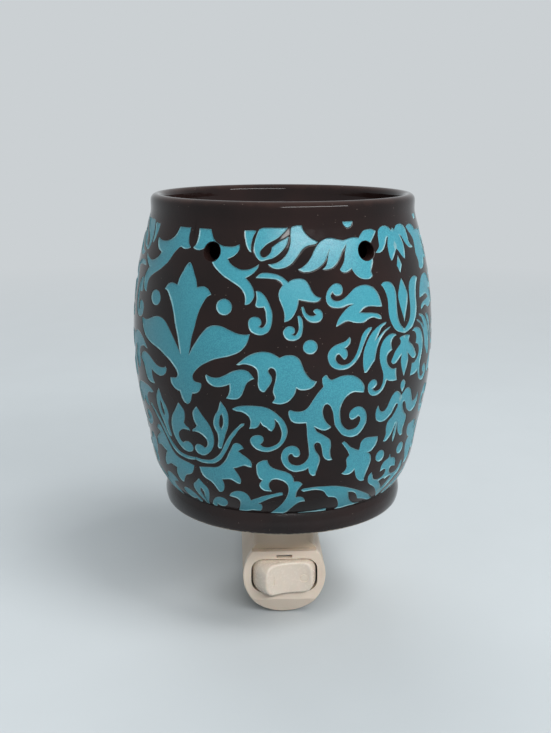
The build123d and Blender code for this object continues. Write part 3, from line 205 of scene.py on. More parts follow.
CLOSED = (
    # scrolling leaf on the upper left
    """-36.85 111.1|-31.4 111.1|-30.7 110,-29.6 108.6,-27.8 107.6,-25.2 106.9,-23.3 106.8,-21.1 106.9,
    -18.9 107.5|-18.8 106.5,-19.4 105.4,-21 104.3,-23 103.6|-21.9 102.5,-19.7 101.5,-17.5 101,-15 101.1,
    -13 101.7,-11.3 102.5|-11.6 101.6,-12.6 100.6,-14.1 99.6,-15.8 98.85|-14.1 97.5,-12.9 95.8,-12.6 94.4,
    -13.3 93,-14.5 92,-15.9 91.8|-15.8 93.4,-16.4 95,-17.7 96.2,-19.7 97.2,-21.9 98.1,-24.1 99,
    -26.3 100.2,-28.1 101.35,-29.2 102.4|-30.5 103.8,-32 105,-33.5 105.8,-35.2 105.4,-37.2 105.5,
    -38.5 105.9|-37.3 106.9,-36.7 108.7""",
    """-17.4 111.1|-12.9 111,-13.6 110,-14.2 108.7,-14.5 107.2,-14.35 105.5|-15.1 105.8,-16.2 107.1,
    -17.1 109.3""",
    # curled leaf at the top
    """-0.9 111.9|-10.1 111.9|-11.6 111.5,-12.5 110.2,-13.2 108.4,-13.5 106.65,-12.9 105,-11.6 103.7,
    -10.5 103.3,-8.6 103.65,-6.4 104.1,-4.2 105.2,-2.4 106.5,-1.3 107.7,-0.85 108.7,-0.7 109.7|-2 109.1,
    -3.9 108.4,-5.3 107.7,-6.8 106.9|-7 105.9,-7.9 105,-9 104.4,-10.1 104.35,-10.85 104.9,-11 105.8,
    -10.1 106.65,-8.6 107.7,-6.8 108.4,-5 109.1,-3.1 110.2,-1.7 111.2""",
    """0.7 112.2,2.4 112.5,4.4 112.5|4.8 111.5,6.1 110.2,7.9 109.1,9.2 108.6,10.3 108.2|9.4 107.7,
    7.9 107.5,6.1 107.2,4.6 106.5,3.1 105.2,1.6 103.7,-0.2 102.4,-2.4 101.6,-5 101.35,-6.6 101.65,
    -8.1 102.5|-6.4 102.7,-4.6 103.1,-2.8 104,-1.3 105.3,-0.4 106.8,0.07 108.4,0.07 110.2,0.2 111.65""",
    # running leaf on the upper right
    """2.5 101.15|4.2 101.8,6.1 103,7.5 104.4,8.6 105.9,9.9 107.3,11.4 108.3,13.2 108.95,15.5 109.1,
    18 108.7,20.3 108.4,22.8 108.8,25.2 109,27.2 108.8|28.2 109.6,29.7 110.5,31.9 110.85,34 110.8,
    36 110.2|34.8 109.1,33.2 107.9,31.9 106.6,31.9 104.6,32.3 102.6,31.5 101.1,30.9 99.9,31.3 98.6|
    30.2 97.9,28.6 97.8,26.7 98,24.9 98.7,23.5 99.8,22.7 100.9|21.6 100.4,20.1 100,18.7 100.2,17.95 100.8|
    18.9 101.8,19.8 102.9,20.3 104.2,20.7 105.6,21.5 107.2|20.4 106.3,19.3 105.3,18.6 104.3,17.4 102.9,
    15.6 101.6,13.4 101.05,11.4 101.05|12.8 102,13.5 103.4,14 105,14.6 106.1|13.6 104.6,12.5 103.2,
    11.2 102.2,9.2 101.2,6.9 100.6,4.6 100.5""",
    """20.8 113.2|25.4 113.2|25 112.6,24.2 111.9,23 111.6,21.8 111.9,21.1 112.6""",
    # bird-shaped leaf on the right
    """15.5 85.8|16.8 86.2,18.6 86.9,20.1 87.1,21.9 86.65,24.1 86.3,26.3 86.4,28.2 87.1,30.4 87.4,
    32.2 86.9,33.95 86.6|33.7 87.5,32.2 88.3,30 88.7,27.4 88.9,24.9 89.15|26 89.9,27.4 90.4,29.6 90.5,
    31.9 90.2,34.5 90.03|34.2 91.2,33.7 92.5,32.8 94,31.5 95.2,29.6 96.06,27.4 96.4,24.9 96.2,22.7 95.5,
    20.8 94.3,19 93.3,17.1 92.7,15.3 92.8,14.3 93.4,14 94.3,14.8 95.03|15.2 94.4,16.2 94.06,17.5 94.2,
    18.3 94.9,18.5 95.8,18.07 96.8,16.8 97.3,15.3 97.2,13.8 96.35,12.7 95.2,12.2 93.7,12.55 92.2,
    13.8 91.2,16 90.8,18.25 90.9,20.1 91.35,22.3 91.5|20.8 91.06,19 90.03,17.5 88.85,16.2 87.4""",
    # leaf in the upper middle
    """-12.3 98.95|-11.6 99.6,-10.5 100.2,-8.6 100.35,-6.4 100.2,-4.2 99.8,-2.4 99,-0.85 97.97|0.2 98.5,
    2 98.85,3.85 98.8,5.3 98.3,6.4 97.1,7.3 95.6,8.6 94.3,10.5 93.7|9.7 92.9,8.3 92.6,6.06 92.8,4.2 93.06,
    2.7 93.3|2.4 91.9,1.65 90.2,0.5 88.7,-0.7 87.9,-2.3 87.5|-2.2 89.3,-2.6 90.8,-3.3 92.2,-4.05 93.7,
    -4.2 95.2,-3.6 96.35,-2.8 97.2|-3.5 97.97,-5 98.6,-6.8 98.8,-9 98.9,-10.85 98.9""",
    # curls below it
    """-12.1 95.5|-11.2 95.6,-9.75 95.03,-8.3 93.6,-7.2 91.9,-6.4 90.2,-6.3 88.4,-6.6 86.65,-7.4 85.1,
    -8.6 84.3,-10.5 83.9,-12.3 84.2,-13.8 85,-14.5 86.65,-14.35 87.8,-13.4 88.6,-12 88.8,-10.7 88.5,
    -10.04 87.7,-10.1 86.8,-10.7 86.2|-9.9 85.9,-9 86.35,-8.35 87.5,-8.5 89,-8.65 90.2,-9.2 91.35|
    -10.5 91.2,-11.6 91.3,-12.2 91.8|-11.8 93.4,-11.9 94.6""",
    """3.5 91.35,4.15 91.6,4.6 90.8,5.3 89.7,6.4 89.15,7.9 89.06,8.56 89.3|8.1 89.7,7.6 90.3,8.3 90.8,
    9.4 90.8,10.5 90.2,10.95 89.15,10.65 88.1,9.55 87.4,7.9 87.2,6.06 87.6,4.6 88.7,3.8 90.03""",
    """2.2 89|2.75 89.2,3.7 88.4,4.04 86.9,3.96 85.5,3.5 83.9,2.4 82.9,0.5 82.5,-1.3 82.8,-2.4 83.8,
    -2.7 84.9,-1.5 86.2,0 86.4,1.1 85.9,1.3 85.3,1.1 84.5,0.5 84.2|1.1 83.9,1.8 84.2,2.4 85.1,2.6 86.06,
    2.45 87.5""",
    # broad leaf in the middle
    """-18.65 75.56|-17.1 76.6,-15.3 77.8,-13.8 78.5,-11.6 79.2,-9 79.5,-6.4 79.1,-3.8 77.9|-2.4 78.4,
    -0.56 78.65,1.3 78.4,2.75 77.5,3.7 76,4.6 74.2,5.7 72.8,7.2 71.6,8.8 71.15|8.1 70.1,6.8 69.2,
    4.96 68.85,3.1 68.9,1.9 69.4|1.5 68.06,0.4 66.6,-1.3 65.4,-3.5 64.9,-5.3 65.03,-6.4 65.3|-5.4 66.6,
    -6 68.06,-5.9 69.5,-5.3 71.3,-5 73.06,-5.3 74.4,-6.3 75.06,-7.2 74.9,-7.6 74.2,-7.2 73.5,-6.5 72.6,
    -6.4 71.6,-7 70.4,-8.1 69.2,-8.9 68.3|-9.75 68.35,-10.85 69.2,-11.2 70.7,-11.1 72.5,-11.4 74.2,
    -12.3 75.1,-14.2 75.7,-16 75.85,-17.5 75.5""",
    # small tulip beside the lily
    """-29.8 72.03|-28.9 71.65,-27 71.4,-24.8 71.65,-22.6 72.5,-20.4 73.5,-18.2 74.15,-16 74.3,-14.5 73.9,
    -13.4 73.06,-12.4 71.9|-13.8 71.4,-15.1 70.4,-16 68.65,-16.9 67.03,-18.2 66,-20.04 65.65,-21.5 65.7,
    -22.6 65.85|-21.7 66.9,-21.15 68.35,-21.15 69.9|-22.6 69.4,-24.8 68.9,-27 68.85,-28.9 69.5,-29.9 70.4,
    -30.3 71.6""",
    # great scroll with its two curls
    """10.65 71.9,11.4 72.6,12.3 72.8,12.9 71.9,14 71.35,15.3 71.6,17.1 72.1,19.7 72.3,21.9 72.03,
    24.1 71.1,25.8 69.8,26.7 68.35,26.6 66.7|24.9 66.9,22.7 67.2,20.8 66.7,19.2 65.6,18.07 63.9,17.7 62.2,
    17.96 60.1,18.8 58.06,20.4 56.6,21.9 56,23.8 56.1,25.2 56.6,26.15 58.06,26.15 59.2,25.2 59.9,
    24.5 59.5,23 59,21.9 59.4,21.4 60.4,21.7 61.6,23 62.5,24.9 62.8,26.7 62.2,28.2 60.85,28.9 59.2,
    29 57.5,28.7 56.8,27.6 55.2,26 54,23.8 53.6,21.6 53.9,19.35 54.8,17.5 56.4,16.2 57.9,15.5 60.1,
    14.9 62.2,13.8 63.9,12.7 64.5,11.8 64.1,11.3 62.9,11.5 61.3,12.3 59.8,13.4 58.6,14.87 57.5|13.8 56.9,
    12.2 56.6,10.1 57.2,8.56 57.9|9.7 56.4,11.6 55.5,13.4 54.5,14.8 53.6,15.4 51.8,15.3 50.06,15.7 48.3,
    16.5 47.2|14.9 47.1,13.65 47.6,12.6 48.7,12.1 50.35,11.6 51.8,11 52.7,9.9 53.06,9 52.56,9.07 51.5,
    9.7 50.35,11 48.9,11.5 47.4,11.1 45.9,10.5 44.5,10.03 42.85|9 42.65,7.9 43.3,7.35 44.2,7.1 45.2|
    5.7 44.6,3.85 44.3,1.65 44.2,-0.2 44.8,-1.85 45.9,-3.1 47.6,-3.3 49.2,-2.6 50.9,-1.1 51.97,0.7 52.35,
    2.4 51.97,3.5 50.8,3.74 49.6,3.1 48.9,2 48.8,1.2 49.2,0.9 49.7,0.2 49.8,-0.56 49.2,-0.6 48,0.2 46.9,
    1.65 46.3,3.5 46.2,5.1 46.7,6.4 47.7,7.1 48.9,7 50.6,6.6 52.7,6.06 55.35,5.85 57.5,5.5 59.2|3.5 59.15,
    1.65 59.3,0.2 59.97,-0.56 61.3,-0.74 62.8,-0.1 63.2|1.3 62.8,3.1 62.7,4.8 63.06,6.06 63.9,7.5 65.7,
    9 67.5,10.3 68.8,11.1 69.5|10.8 70.56""",
    # curl with a toothed inner edge
    """-20.7 62.8|-19.3 63.5,-17.1 64,-14.5 64.2,-11.6 64.2,-8.65 63.9,-6.1 62.9,-3.9 61.4,-2.2 59.8,
    -1.3 58.06,-1 56.6,-1.3 55.35,-2.2 53.6,-3.9 51.97,-6.1 50.9,-8.65 50.4,-11.2 50.65,-13.2 51.5,
    -14.5 53,-14.45 54.3,-13.2 55.2,-11.4 55.5,-10.1 55.2,-9.6 54.3,-9.9 53.4,-10.85 52.7|-10.1 52.1,
    -8.3 51.8,-6.1 52.3,-4.2 53.3,-3.3 54.8,-3.1 56.5,-3.7 58.2,-4.4 59.4,-5.45 60.3|-5.3 59.2,-5.7 57.8,
    -6.6 56.8|-7.5 57.03,-8.5 57.9,-9.9 58.5,-10.56 59.4|-11.2 58.35,-12.3 57.6,-13.8 57.4,-14.7 57.2|
    -14.2 58.65,-14.2 60.1,-15.1 61.3,-16 61.8,-17.1 62.2,-18.9 62.3""",
    # upright bud, with its eye
    """-24.8 64.8|-25.4 63.5,-26.1 61.9,-27.4 60.4,-28.2 58.8,-28.4 57.2,-28 56.2,-27.2 54.8,-27.2 52.7,
    -27.8 50.8|-27.2 50.2,-26.1 50.3|-25.4 51.7,-24.5 53.6,-23.5 55.65,-22.8 56.9,-22.3 58.65,-22.2 60.7,
    -22.8 62.5,-23.9 63.9""",
    """-24.6 61|-24.3 59.5,-24.6 57.8,-25.4 56.4|-26 57.2,-25.9 58.65,-25.4 60.4""",
    # leaf inside the bowl
    """-34.9 62.2|-36 61.3,-37 60.1,-37.1 58.9,-36.6 57.2,-36 56.2|-36.8 55.35,-38.06 54.8,-38.5 54.03|
    -37 54.2,-35.1 54.03,-33.5 53.3,-32.2 52.1,-32.2 50.8,-33.1 49.8,-33.8 49.6|-35.1 50.2,-37 50.3,
    -38.2 49.6,-38.6 48.6,-37.9 47.6,-36.2 47.06,-34.4 47.1,-32.5 47.85,-30.7 49.2,-29.6 50.65,
    -29.05 52.4,-29.05 54.2,-29.6 55.9,-30.7 57.7,-32.2 59.2,-33.5 60.6""",
    # toothed leaf under the bowl
    """-37.7 43|-35.5 43.3,-32.9 43.6,-30.3 43.9,-28.1 44.5,-26.3 45.65,-24.8 47.1,-23.35 49.2,
    -22.07 50.9,-21.15 52.1,-20.2 52.5,-18.9 52.4,-17.8 51.7,-17.3 50.9|-18.4 50.65,-19.5 50|-18.2 49.2,
    -16.55 48.4,-15.1 47.4,-14.45 46.2,-14.7 45.2|-16 45.35,-17.5 45.65,-18.9 45.35,-20.4 44.8,-21.9 44.5|
    -20.8 43.3,-19.7 41.97,-19.2 40.65,-19.7 39.6|-20.96 39.9,-22.25 40.4,-23.7 40.8,-25.6 40.65,
    -27.4 40.35|-26.8 39.2,-26.8 37.7,-27.4 36.4,-28.5 35.6,-29.6 35.5|-30.3 36.4,-31.3 37.7,-32.7 38.9,
    -34.75 39.6,-36.2 40.35,-37.1 41.5""",
    # leaves along the foot
    """-36.2 29.3|-35.1 30.65,-33.6 31.97,-31.8 33,-29.6 33.35,-27.95 33,-27.03 31.97,-27.4 30.8,
    -28.7 29.8,-30.3 29.3,-31.8 29.4,-33.1 29.9|-34 28.7|-35.5 28.7""",
    """-25.2 34.5|-24.5 35.5,-22.99 36.4,-21.1 36.9,-18.9 36.8,-17.3 36.1,-16.4 34.9,-16 33.65|-14.5 34.3,
    -13 34.8,-10.85 35.65,-8.65 36.2,-6.07 36.8,-3.9 37.3,-2.7 37.3|-2.6 36.4|-3.5 36.1,-5.7 35.65,
    -7.9 34.9,-10.1 33.9,-11.96 33,-12.9 32.6|-11.8 32.3,-11.4 31.2,-11.8 30.06,-12.5 29.4|-14.2 29.4,
    -16 29.4,-17.5 29.03,-19.7 28.7,-22.7 28.7|-21.9 30.06,-21.15 31.5,-20.96 33,-21.9 33.9,-23.35 34.2""",
    """-8.5 47.85|-8.1 46.8,-7.2 45.8,-5.3 45.06,-3.1 44.6,-0.9 44.03,0.54 43.3,1.5 42.1,1.8 41.1|
    2.75 41.2,4.2 40.9,5.1 40.2|4.4 39.5,3.5 38.4,2.9 37.1,2.7 35.4|3.85 35.6,5.3 35.35,6.2 34.5,
    6.6 33.65|4.96 33.5,3.5 33,2 31.8,0.54 30.5,-0.9 29.2,-2.4 28.6|-8.1 28.6|-6.4 29.8,-4.6 31.2,-2.8 33,
    -1.3 35.06,-0.4 37.4,-0.4 39.2,-1.3 40.65,-3.1 41.5,-5.3 41.9,-7 41.5,-8 40.35,-7.9 39.03,-7 37.7|
    -8.65 37.7,-10.3 38,-11.6 39.03,-11.8 40.06,-10.7 41.4|-11.8 41.97,-12.6 43.3,-12.8 44.8,-12.7 46.2,
    -11.6 47.1,-10.1 47.7""",
    """4.6 38,5.1 38.4,6.8 38.7,9.7 38.9,12.7 38.9,14.9 38.8,17.9 38.6,20.8 38.15,23.8 37.4,26.7 36.5,
    29.6 35.5,32.6 34.3,35.5 33.15,38.5 31.8,40.7 30.5,42.5 29.5|40.3 29.2,37.7 29.9,35.5 30.65,33.7 31.1,
    32.1 31.4|31.1 32.6,29.6 34.03,27.8 34.9,25.6 35.35|26.15 33.9,27.1 32.4,28.5 31.1,30.4 30.06,
    32.6 29.5,34.8 29.2|31.85 29.03,27.8 28.9,24.5 28.65,21.4 28.65|22.7 29.5,22.3 30.9,21.4 32.4,
    20.1 33.7,18.25 34.3,16.6 34.5|15.7 35.2,14.2 36.8,12.4 37.56,9.7 37.9,7.5 37.65,5.7 37.4""",
    """3.5 28.6|8 29,12 29.2,15 29.5,17.1 29.7|17.2 28.6""",
    # five-leaved flower on the lower right
    """19.7 52.1|20.6 52.6|21.7 51.97,23.4 50.65,25.2 49.8,26.9 49.2,27.8 49.1|28 50.35,28.2 51.4,
    29.3 52.3,30.75 52.56,32.96 52.4,35.2 52.2,36.1 52.1|36.3 50.65,35.5 49.2,34.06 48,32.4 47.56|
    33.7 46.7,34.4 45.35,34.2 43.9,33.3 42.1,32.6 40.65,32.2 39.5,32.4 38.6|30.75 38.6,28.9 39.5,
    27.6 40.9,27.1 42.1,26.7 43|26 42.4,24.9 41.9,23.4 41.76,21.9 41.97,20.9 42.35|22.3 43.15,22.96 44.2,
    22.7 45.65,22.5 46.8,23.6 47.85|22.7 49.2,21.2 50.65""",
    # hooked leaves left of the tulip
    """29.65 84.8|28.2 84.8,26.7 84.1,25.4 82.8,24.7 81.3,23.8 79.2,22.5 77.2,21 75.85,19.35 75.3,
    17.5 75.3,16.04 76,15.4 77.03,15.7 78,16.5 78.3,17.1 77.9,17.8 77.2,18.6 76.65,19.5 77.2,19.8 78.2,
    19.5 79.2,18.9 79.8|19.9 80.3,20.75 81.15,20.9 82.2,20.5 82.8|19.9 82.3,18.8 81.7,17.1 81.3,14.9 80.7,
    13.5 79.8,12.55 78.35,12.8 76.6,14 74.97,15.7 74.2,17.9 73.9,20.1 74.2,22.3 75.3,24.1 76.9,25.2 78.65,
    26.15 80.4,27.1 81.9,28.2 83.2,29.3 84.2""",
    """26.5 72.3|26 73.9,25.8 76,26.15 78.35,27.1 80.4,28.5 82.3,30.4 83.8,32.6 84.9,34.8 85.5,36.3 85.6|
    35.5 85,34.06 84.4,32.8 83.06,31.9 81.9,31.1 81|32.2 81.7,33.7 82.6,35.5 83.5,37 84,38.2 84.2|
    37.4 83.65,35.5 82.9,33.9 81.7,32.6 80.3,31.7 78.65,31.1 76.9,30.75 75.56,29.65 74.5,28.2 73.06,
    27.3 72.3""",
    """41.4 81.4|40.3 81.9,38.5 82.1,36.6 81.7,34.8 80.7,33.5 79.1,32.96 77.2,33.1 75.1,33.9 73.06,
    34.8 71.3,34.98 69.5,34.6 68.06,33.7 66.9,32.2 66.5,31.1 66.7,30.4 67.3|31.5 67.8,32.15 68.5,
    31.85 69.5,30.75 70.03,29.5 69.8,28.4 68.9,28.2 67.8,28.7 66.4,30 65.4,31.85 65.2,33.7 65.7,35.2 66.7,
    36.1 68.06,36.7 69.2|38.1 68.65,39.9 68.4,42.1 68.35|41.7 69.4,41.4 70.7,41.3 72.03|39.9 71.9,
    38.3 72.5,37 73.5,36.3 75,36.6 76.3,37.55 77.1,38.9 77.5|38.5 78.65,38.5 79.8,39.4 80.85,40.5 81.3""",
)
# angle, height, half width in degrees, half height in millimetres
DOTS = ((-23.35, 90.97, 2.95, 2.2), (6.5, 80.7, 2.5, 1.95), (39.4, 45.35, 2.43, 1.8))
# the lowest outlines were read against the foot bead, which the side meets a little higher
LOW_OUTLINE_Z = 28.6
LOW_LIFT = 1.2
LIFT_END_Z = 40.0


def side_bends(z, r):
    """Second derivatives of the natural cubic through the points, at each of them."""
    step = np.diff(z)
    size = len(z)
    matrix, right = np.eye(size), np.zeros(size)
    for i in range(1, size - 1):
        matrix[i, i - 1:i + 2] = step[i - 1], 2 * (step[i - 1] + step[i]), step[i]
        right[i] = 6 * ((r[i + 1] - r[i]) / step[i] - (r[i] - r[i - 1]) / step[i - 1])
    return np.linalg.solve(matrix, right)


KNOT_Z, KNOT_R = (np.array(SIDE_SHARES) * (SHADE_HEIGHT, BELLY_RADIUS) + (FOOT_Z, 0)).T
KNOT_BEND = side_bends(KNOT_Z, KNOT_R)


def belly(height):
    """Radius and slope of the shade's belly, carried on straight above the collar."""
    height = np.asarray(height, float)
    z = np.clip(height, KNOT_Z[0], KNOT_Z[-1])
    i = np.clip(np.searchsorted(KNOT_Z, z) - 1, 0, len(KNOT_Z) - 2)
    h = KNOT_Z[i + 1] - KNOT_Z[i]
    a, b = (KNOT_Z[i + 1] - z) / h, (z - KNOT_Z[i]) / h
    bend_a, bend_b = KNOT_BEND[i], KNOT_BEND[i + 1]
    low, high = KNOT_R[i], KNOT_R[i + 1]
    radius = a * low + b * high + ((a ** 3 - a) * bend_a + (b ** 3 - b) * bend_b) * h * h / 6
    slope = (high - low) / h + ((1 - 3 * a * a) * bend_a + (3 * b * b - 1) * bend_b) * h / 6
    return radius + slope * (height - z), slope


def side(z):
    """Radius and slope of the outside at height z: the belly, run softly into the upright collar."""
    radius, slope = belly(z)
    rise = (RIM_OUTER - KNOT_R[-1]) / (RIM_Z - COLLAR_Z)
    apart = radius - KNOT_R[-1] - (np.asarray(z, float) - COLLAR_Z) * rise
    spread = np.sqrt(apart ** 2 + CREASE ** 2)
    return radius + (spread - apart) / 2, slope + (apart / spread - 1) * (slope - rise) / 2


def around(angle, radius, z):
    """Points in millimetres on the shade's own circle: angle 0 faces forwards, positive to the right."""
    angle = np.radians(angle)
    return np.stack([radius * np.sin(angle), POT_Y - radius * np.cos(angle), z + 0 * angle], axis=-1)


def read_outline(text):
    """The outline's points, flat in millimetres, and which of them are corners."""
    points, corners = [], []
    for stroke in text.split("|"):
        for pair in filter(str.strip, stroke.split(",")):
            angle, z = map(float, pair.split())
            lift = LOW_LIFT * max(LIFT_END_Z - z, 0) / (LIFT_END_Z - LOW_OUTLINE_Z)
            points.append((angle * FLAT_SCALE, z + lift))
            corners.append(False)
        corners[-1] = True
    return np.array(points), corners


def curve_through(points):
    """A smooth line through the points of one stroke, evenly sampled."""
    if len(points) == 2:
        count = max(1, math.ceil(np.linalg.norm(points[1] - points[0]) / OUTLINE_STEP))
        share = np.linspace(0, 1, count + 1)[:, None]
        return points[0] * (1 - share) + points[1] * share
    ends = [2 * points[0] - points[1], *points, 2 * points[-1] - points[-2]]
    line = [points[0]]
    for p0, p1, p2, p3 in zip(ends, ends[1:], ends[2:], ends[3:]):
        chords = [max(np.linalg.norm(chord), 1e-6) for chord in (p1 - p0, p2 - p1, p3 - p2)]
        knots = np.cumsum([0] + [chord ** 0.5 for chord in chords])
        count = max(1, math.ceil(np.linalg.norm(p2 - p1) / OUTLINE_STEP))
        for t in np.linspace(knots[1], knots[2], count + 1)[1:]:
            level = [p0, p1, p2, p3]
            for spans in (((0, 1), (1, 2), (2, 3)), ((0, 2), (1, 3)), ((1, 2),)):
                level = [
                    ((knots[j] - t) * p + (t - knots[i]) * q) / (knots[j] - knots[i])
                    for p, q, (i, j) in zip(level, level[1:], spans)
                ]
            line.append(level[0])
    return np.array(line)


def trace(text, closed):
    """One outline as a fine polyline. A closed one doesn't repeat its first point."""
    points, corners = read_outline(text)
    if closed:
        points = np.vstack([points, points[:1]])
        corners = corners + [True]
    corners[0] = corners[-1] = True
    at = [i for i, corner in enumerate(corners) if corner]
    parts = [curve_through(points[a:b + 1]) for a, b in zip(at, at[1:])]
    line = np.vstack([parts[0]] + [part[1:] for part in parts[1:]])
    return line[:-1] if closed else line


def dot(angle, z, half_width, half_height):
    """An oval outline, flat in millimetres."""
    turn = np.linspace(0, 2 * math.pi, DOT_POINTS, endpoint=False)
    return np.stack([
        (angle + half_width * np.cos(turn)) * FLAT_SCALE,
        z + half_height * np.sin(turn),
    ], axis=-1)


def ornament():
    """All outlines as (line, axis): axis is the flat place of the mirror line that it ends on, or None."""
    left, right = LEFT_AXIS * FLAT_SCALE, RIGHT_AXIS * FLAT_SCALE
    lines = [(trace(text, False), left) for text in LEFT_HALVES]
    lines += [(trace(text, False), right) for text in RIGHT_HALVES]
    lines += [(trace(text, True), None) for text in CLOSED]
    return lines + [(dot(*place), None) for place in DOTS]


def inside(points, lines):
    """Which points lie in the ornament, by counting crossings, so that an outline in another is an eye."""
    result = np.zeros(len(points), bool)
    for line, axis in lines:
        low, high = line.min(0), line.max(0)
        near = np.where(np.all((points >= low) & (points <= high), axis=1))[0]
        if not len(near):
            continue
        px, py = points[near, 0][:, None], points[near, 1][:, None]
        x1, y1 = line[:, 0], line[:, 1]
        x2, y2 = np.roll(x1, -1), np.roll(y1, -1)
        rise = np.where(y2 == y1, 1e-12, y2 - y1)
        crosses = ((y1 > py) != (y2 > py)) & (px < (x2 - x1) * (py - y1) / rise + x1)
        result[near] ^= crosses.sum(axis=1) % 2 == 1
    return result


def tree_of(points):
    """The flat points, ready to be searched."""
    tree = KDTree(len(points))
    for i, (x, y) in enumerate(points):
        tree.insert((x, y, 0), i)
    tree.balance()
    return tree


class Nearness:
    """How far a flat point is from the nearest outline."""

    def __init__(self, lines):
        self.segments, self.around_point, places = [], [], []
        for line, axis in lines:
            first, count = len(self.segments), len(line)
            size = count if axis is None else count - 1
            self.segments += [(line[i], line[(i + 1) % count]) for i in range(size)]
            self.around_point += [(first + (i - 1) % size, first + i % size) for i in range(count)]
            places += list(line)
        self.tree = tree_of(places)

    def __call__(self, points):
        result = np.zeros(len(points))
        for k, (x, y) in enumerate(points):
            best = math.inf
            for place, index, distance in self.tree.find_n((x, y, 0), 3):
                for s in self.around_point[index]:
                    (ax, ay), (bx, by) = self.segments[s]
                    dx, dy = bx - ax, by - ay
                    share = ((x - ax) * dx + (y - ay) * dy) / max(dx * dx + dy * dy, 1e-12)
                    share = min(max(share, 0), 1)
                    best = min(best, math.hypot(x - ax - share * dx, y - ay - share * dy))
            result[k] = best
        return result


def lengths(vectors):
    return np.maximum(np.linalg.norm(vectors, axis=1), 1e-9)[:, None]


def beside(line, axis, width):
    """The line moved sideways to its left by width, and mitred at its bends."""
    if axis is None:
        before, after = np.roll(line, 1, axis=0), np.roll(line, -1, axis=0)
    else:
        first, last = line[1] * (-1, 1) + (2 * axis, 0), line[-2] * (-1, 1) + (2 * axis, 0)
        before, after = np.vstack([first, line[:-1]]), np.vstack([line[1:], last])
    into, out = line - before, after - line
    both = into / lengths(into) + out / lengths(out)
    normal = np.stack([-both[:, 1], both[:, 0]], axis=-1)
    size = lengths(normal)
    return line + normal / size * width * np.minimum(2 / size, MITRE_LIMIT)


def flat_lines(lines, nearness):
    """The ornament's outlines with the lines of its wall's foot and of its rounded lip, as runs of points."""
    runs = []
    for line, axis in lines:
        closed = axis is None
        runs.append((line, closed))
        for sign in (1, -1):
            within = inside(beside(line, axis, sign * PROBE), lines).mean() > 0.5
            width = WALL_WIDTH if within else LIP_WIDTH
            moved = beside(line, axis, sign * width)
            keep = (nearness(moved) > KEPT_SHARE * width) & (inside(moved, lines) == within)
            keep &= (moved[:, 1] > WAIST_Z + BAND_MARGIN) & (moved[:, 1] < COLLAR_Z - BAND_MARGIN)
            if closed and keep.all():
                runs.append((moved, True))
                continue
            if closed:
                start = int(np.argmin(keep))
                moved, keep = np.roll(moved, -start, axis=0), np.roll(keep, -start)
            run = []
            for point, kept in zip(moved, keep):
                if kept:
                    run.append(point)
                elif run:
                    runs.append((np.array(run), False))
                    run = []
            if run:
                runs.append((np.array(run), False))
    return runs


class FlatNet:
    """Points and fixed edges on the flat band, turned into triangles."""

    def __init__(self):
        self.points, self.edges = [], []

    def add(self, run, closed):
        first = len(self.points)
        self.points += [tuple(point) for point in run]
        self.edges += [(first + i, first + i + 1) for i in range(len(run) - 1)]
        if closed:
            self.edges.append((len(self.points) - 1, first))

    def add_border(self, across, heights):
        """The border of a rectangle, from the places of its points across and upwards."""
        for height in (heights[0], heights[-1]):
            self.add([(x, height) for x in across], False)
        for x in (across[0], across[-1]):
            self.add([(x, height) for height in heights], False)

    def fill(self, low, high, step, gap):
        """Adds a staggered grid, keeping gap from what is there."""
        tree = tree_of(self.points)
        row_step = step * math.sqrt(3) / 2
        for row in range(1, int((high[1] - low[1]) / row_step)):
            y = low[1] + row * row_step
            for column in range(int((high[0] - low[0]) / step) + 1):
                x = low[0] + (column + (row % 2) / 2) * step
                if x < high[0] and tree.find((x, y, 0))[2] > gap:
                    self.points.append((x, y))

    def triangles(self):
        points = [Vector(point) for point in self.points]
        points, edges, faces = delaunay_2d_cdt(points, self.edges, [], 0, CDT_SLACK)[:3]
        return np.array([tuple(p) for p in points]), np.array([tuple(face) for face in faces])


def to_world(flat_x, band):
    start, span, mirrored = band
    share = (flat_x / FLAT_SCALE - LEFT_AXIS) / FRONT_SPAN
    return start + span * (1 - share if mirrored else share)


def to_flat(angle, band):
    start, span, mirrored = band
    share = (angle - start) / span
    return (LEFT_AXIS + FRONT_SPAN * (1 - share if mirrored else share)) * FLAT_SCALE


def vents_in(band):
    """The angles of the vents in a band, counted on from its start."""
    start, span, mirrored = band
    return [start + (angle - start) % 360 for angle in VENT_ANGLES if (angle - start) % 360 < span]


def quads(rows, n):
    """The faces between rows of n points, each row closed on itself."""
    steps = [(i, (i + 1) % n) for i in range(n)]
    return [(a + i, a + j, a + n + j, a + n + i) for a in range(0, (rows - 1) * n, n) for i, j in steps]


class Skin:
    """Collects the shade's faces. Its turned parts have points at the given angles."""

    def __init__(self, angles):
        self.angles = np.array(angles)
        self.points, self.faces, self.materials, self.kinds = [], [], [], []
        self.count = 0

    def add(self, points, faces, materials, kinds):
        self.points.append(np.asarray(points, float))
        self.faces += [tuple(int(i) + self.count for i in face) for face in faces]
        self.materials += list(materials)
        self.kinds += list(kinds)
        self.count += len(points)

    def add_plain(self, points, faces, material=BROWN, turned=False):
        faces = [face[::-1] for face in faces] if turned else faces
        self.add(points, faces, [material] * len(faces), [PLAIN] * len(faces))

    def rings(self, profile, material=BROWN, inward=False):
        """A band turned about the shade's axis from a profile of (radius, height) points."""
        points = np.vstack([around(self.angles, radius, height) for radius, height in profile])
        self.add_plain(points, quads(len(profile), len(self.angles)), material, inward)

    def cap(self, radius, height, downward=False):
        points = np.vstack([around(self.angles, radius, height), [[0, POT_Y, height]]])
        n = len(self.angles)
        self.add_plain(points, [(i, (i + 1) % n, n) for i in range(n)], turned=downward)


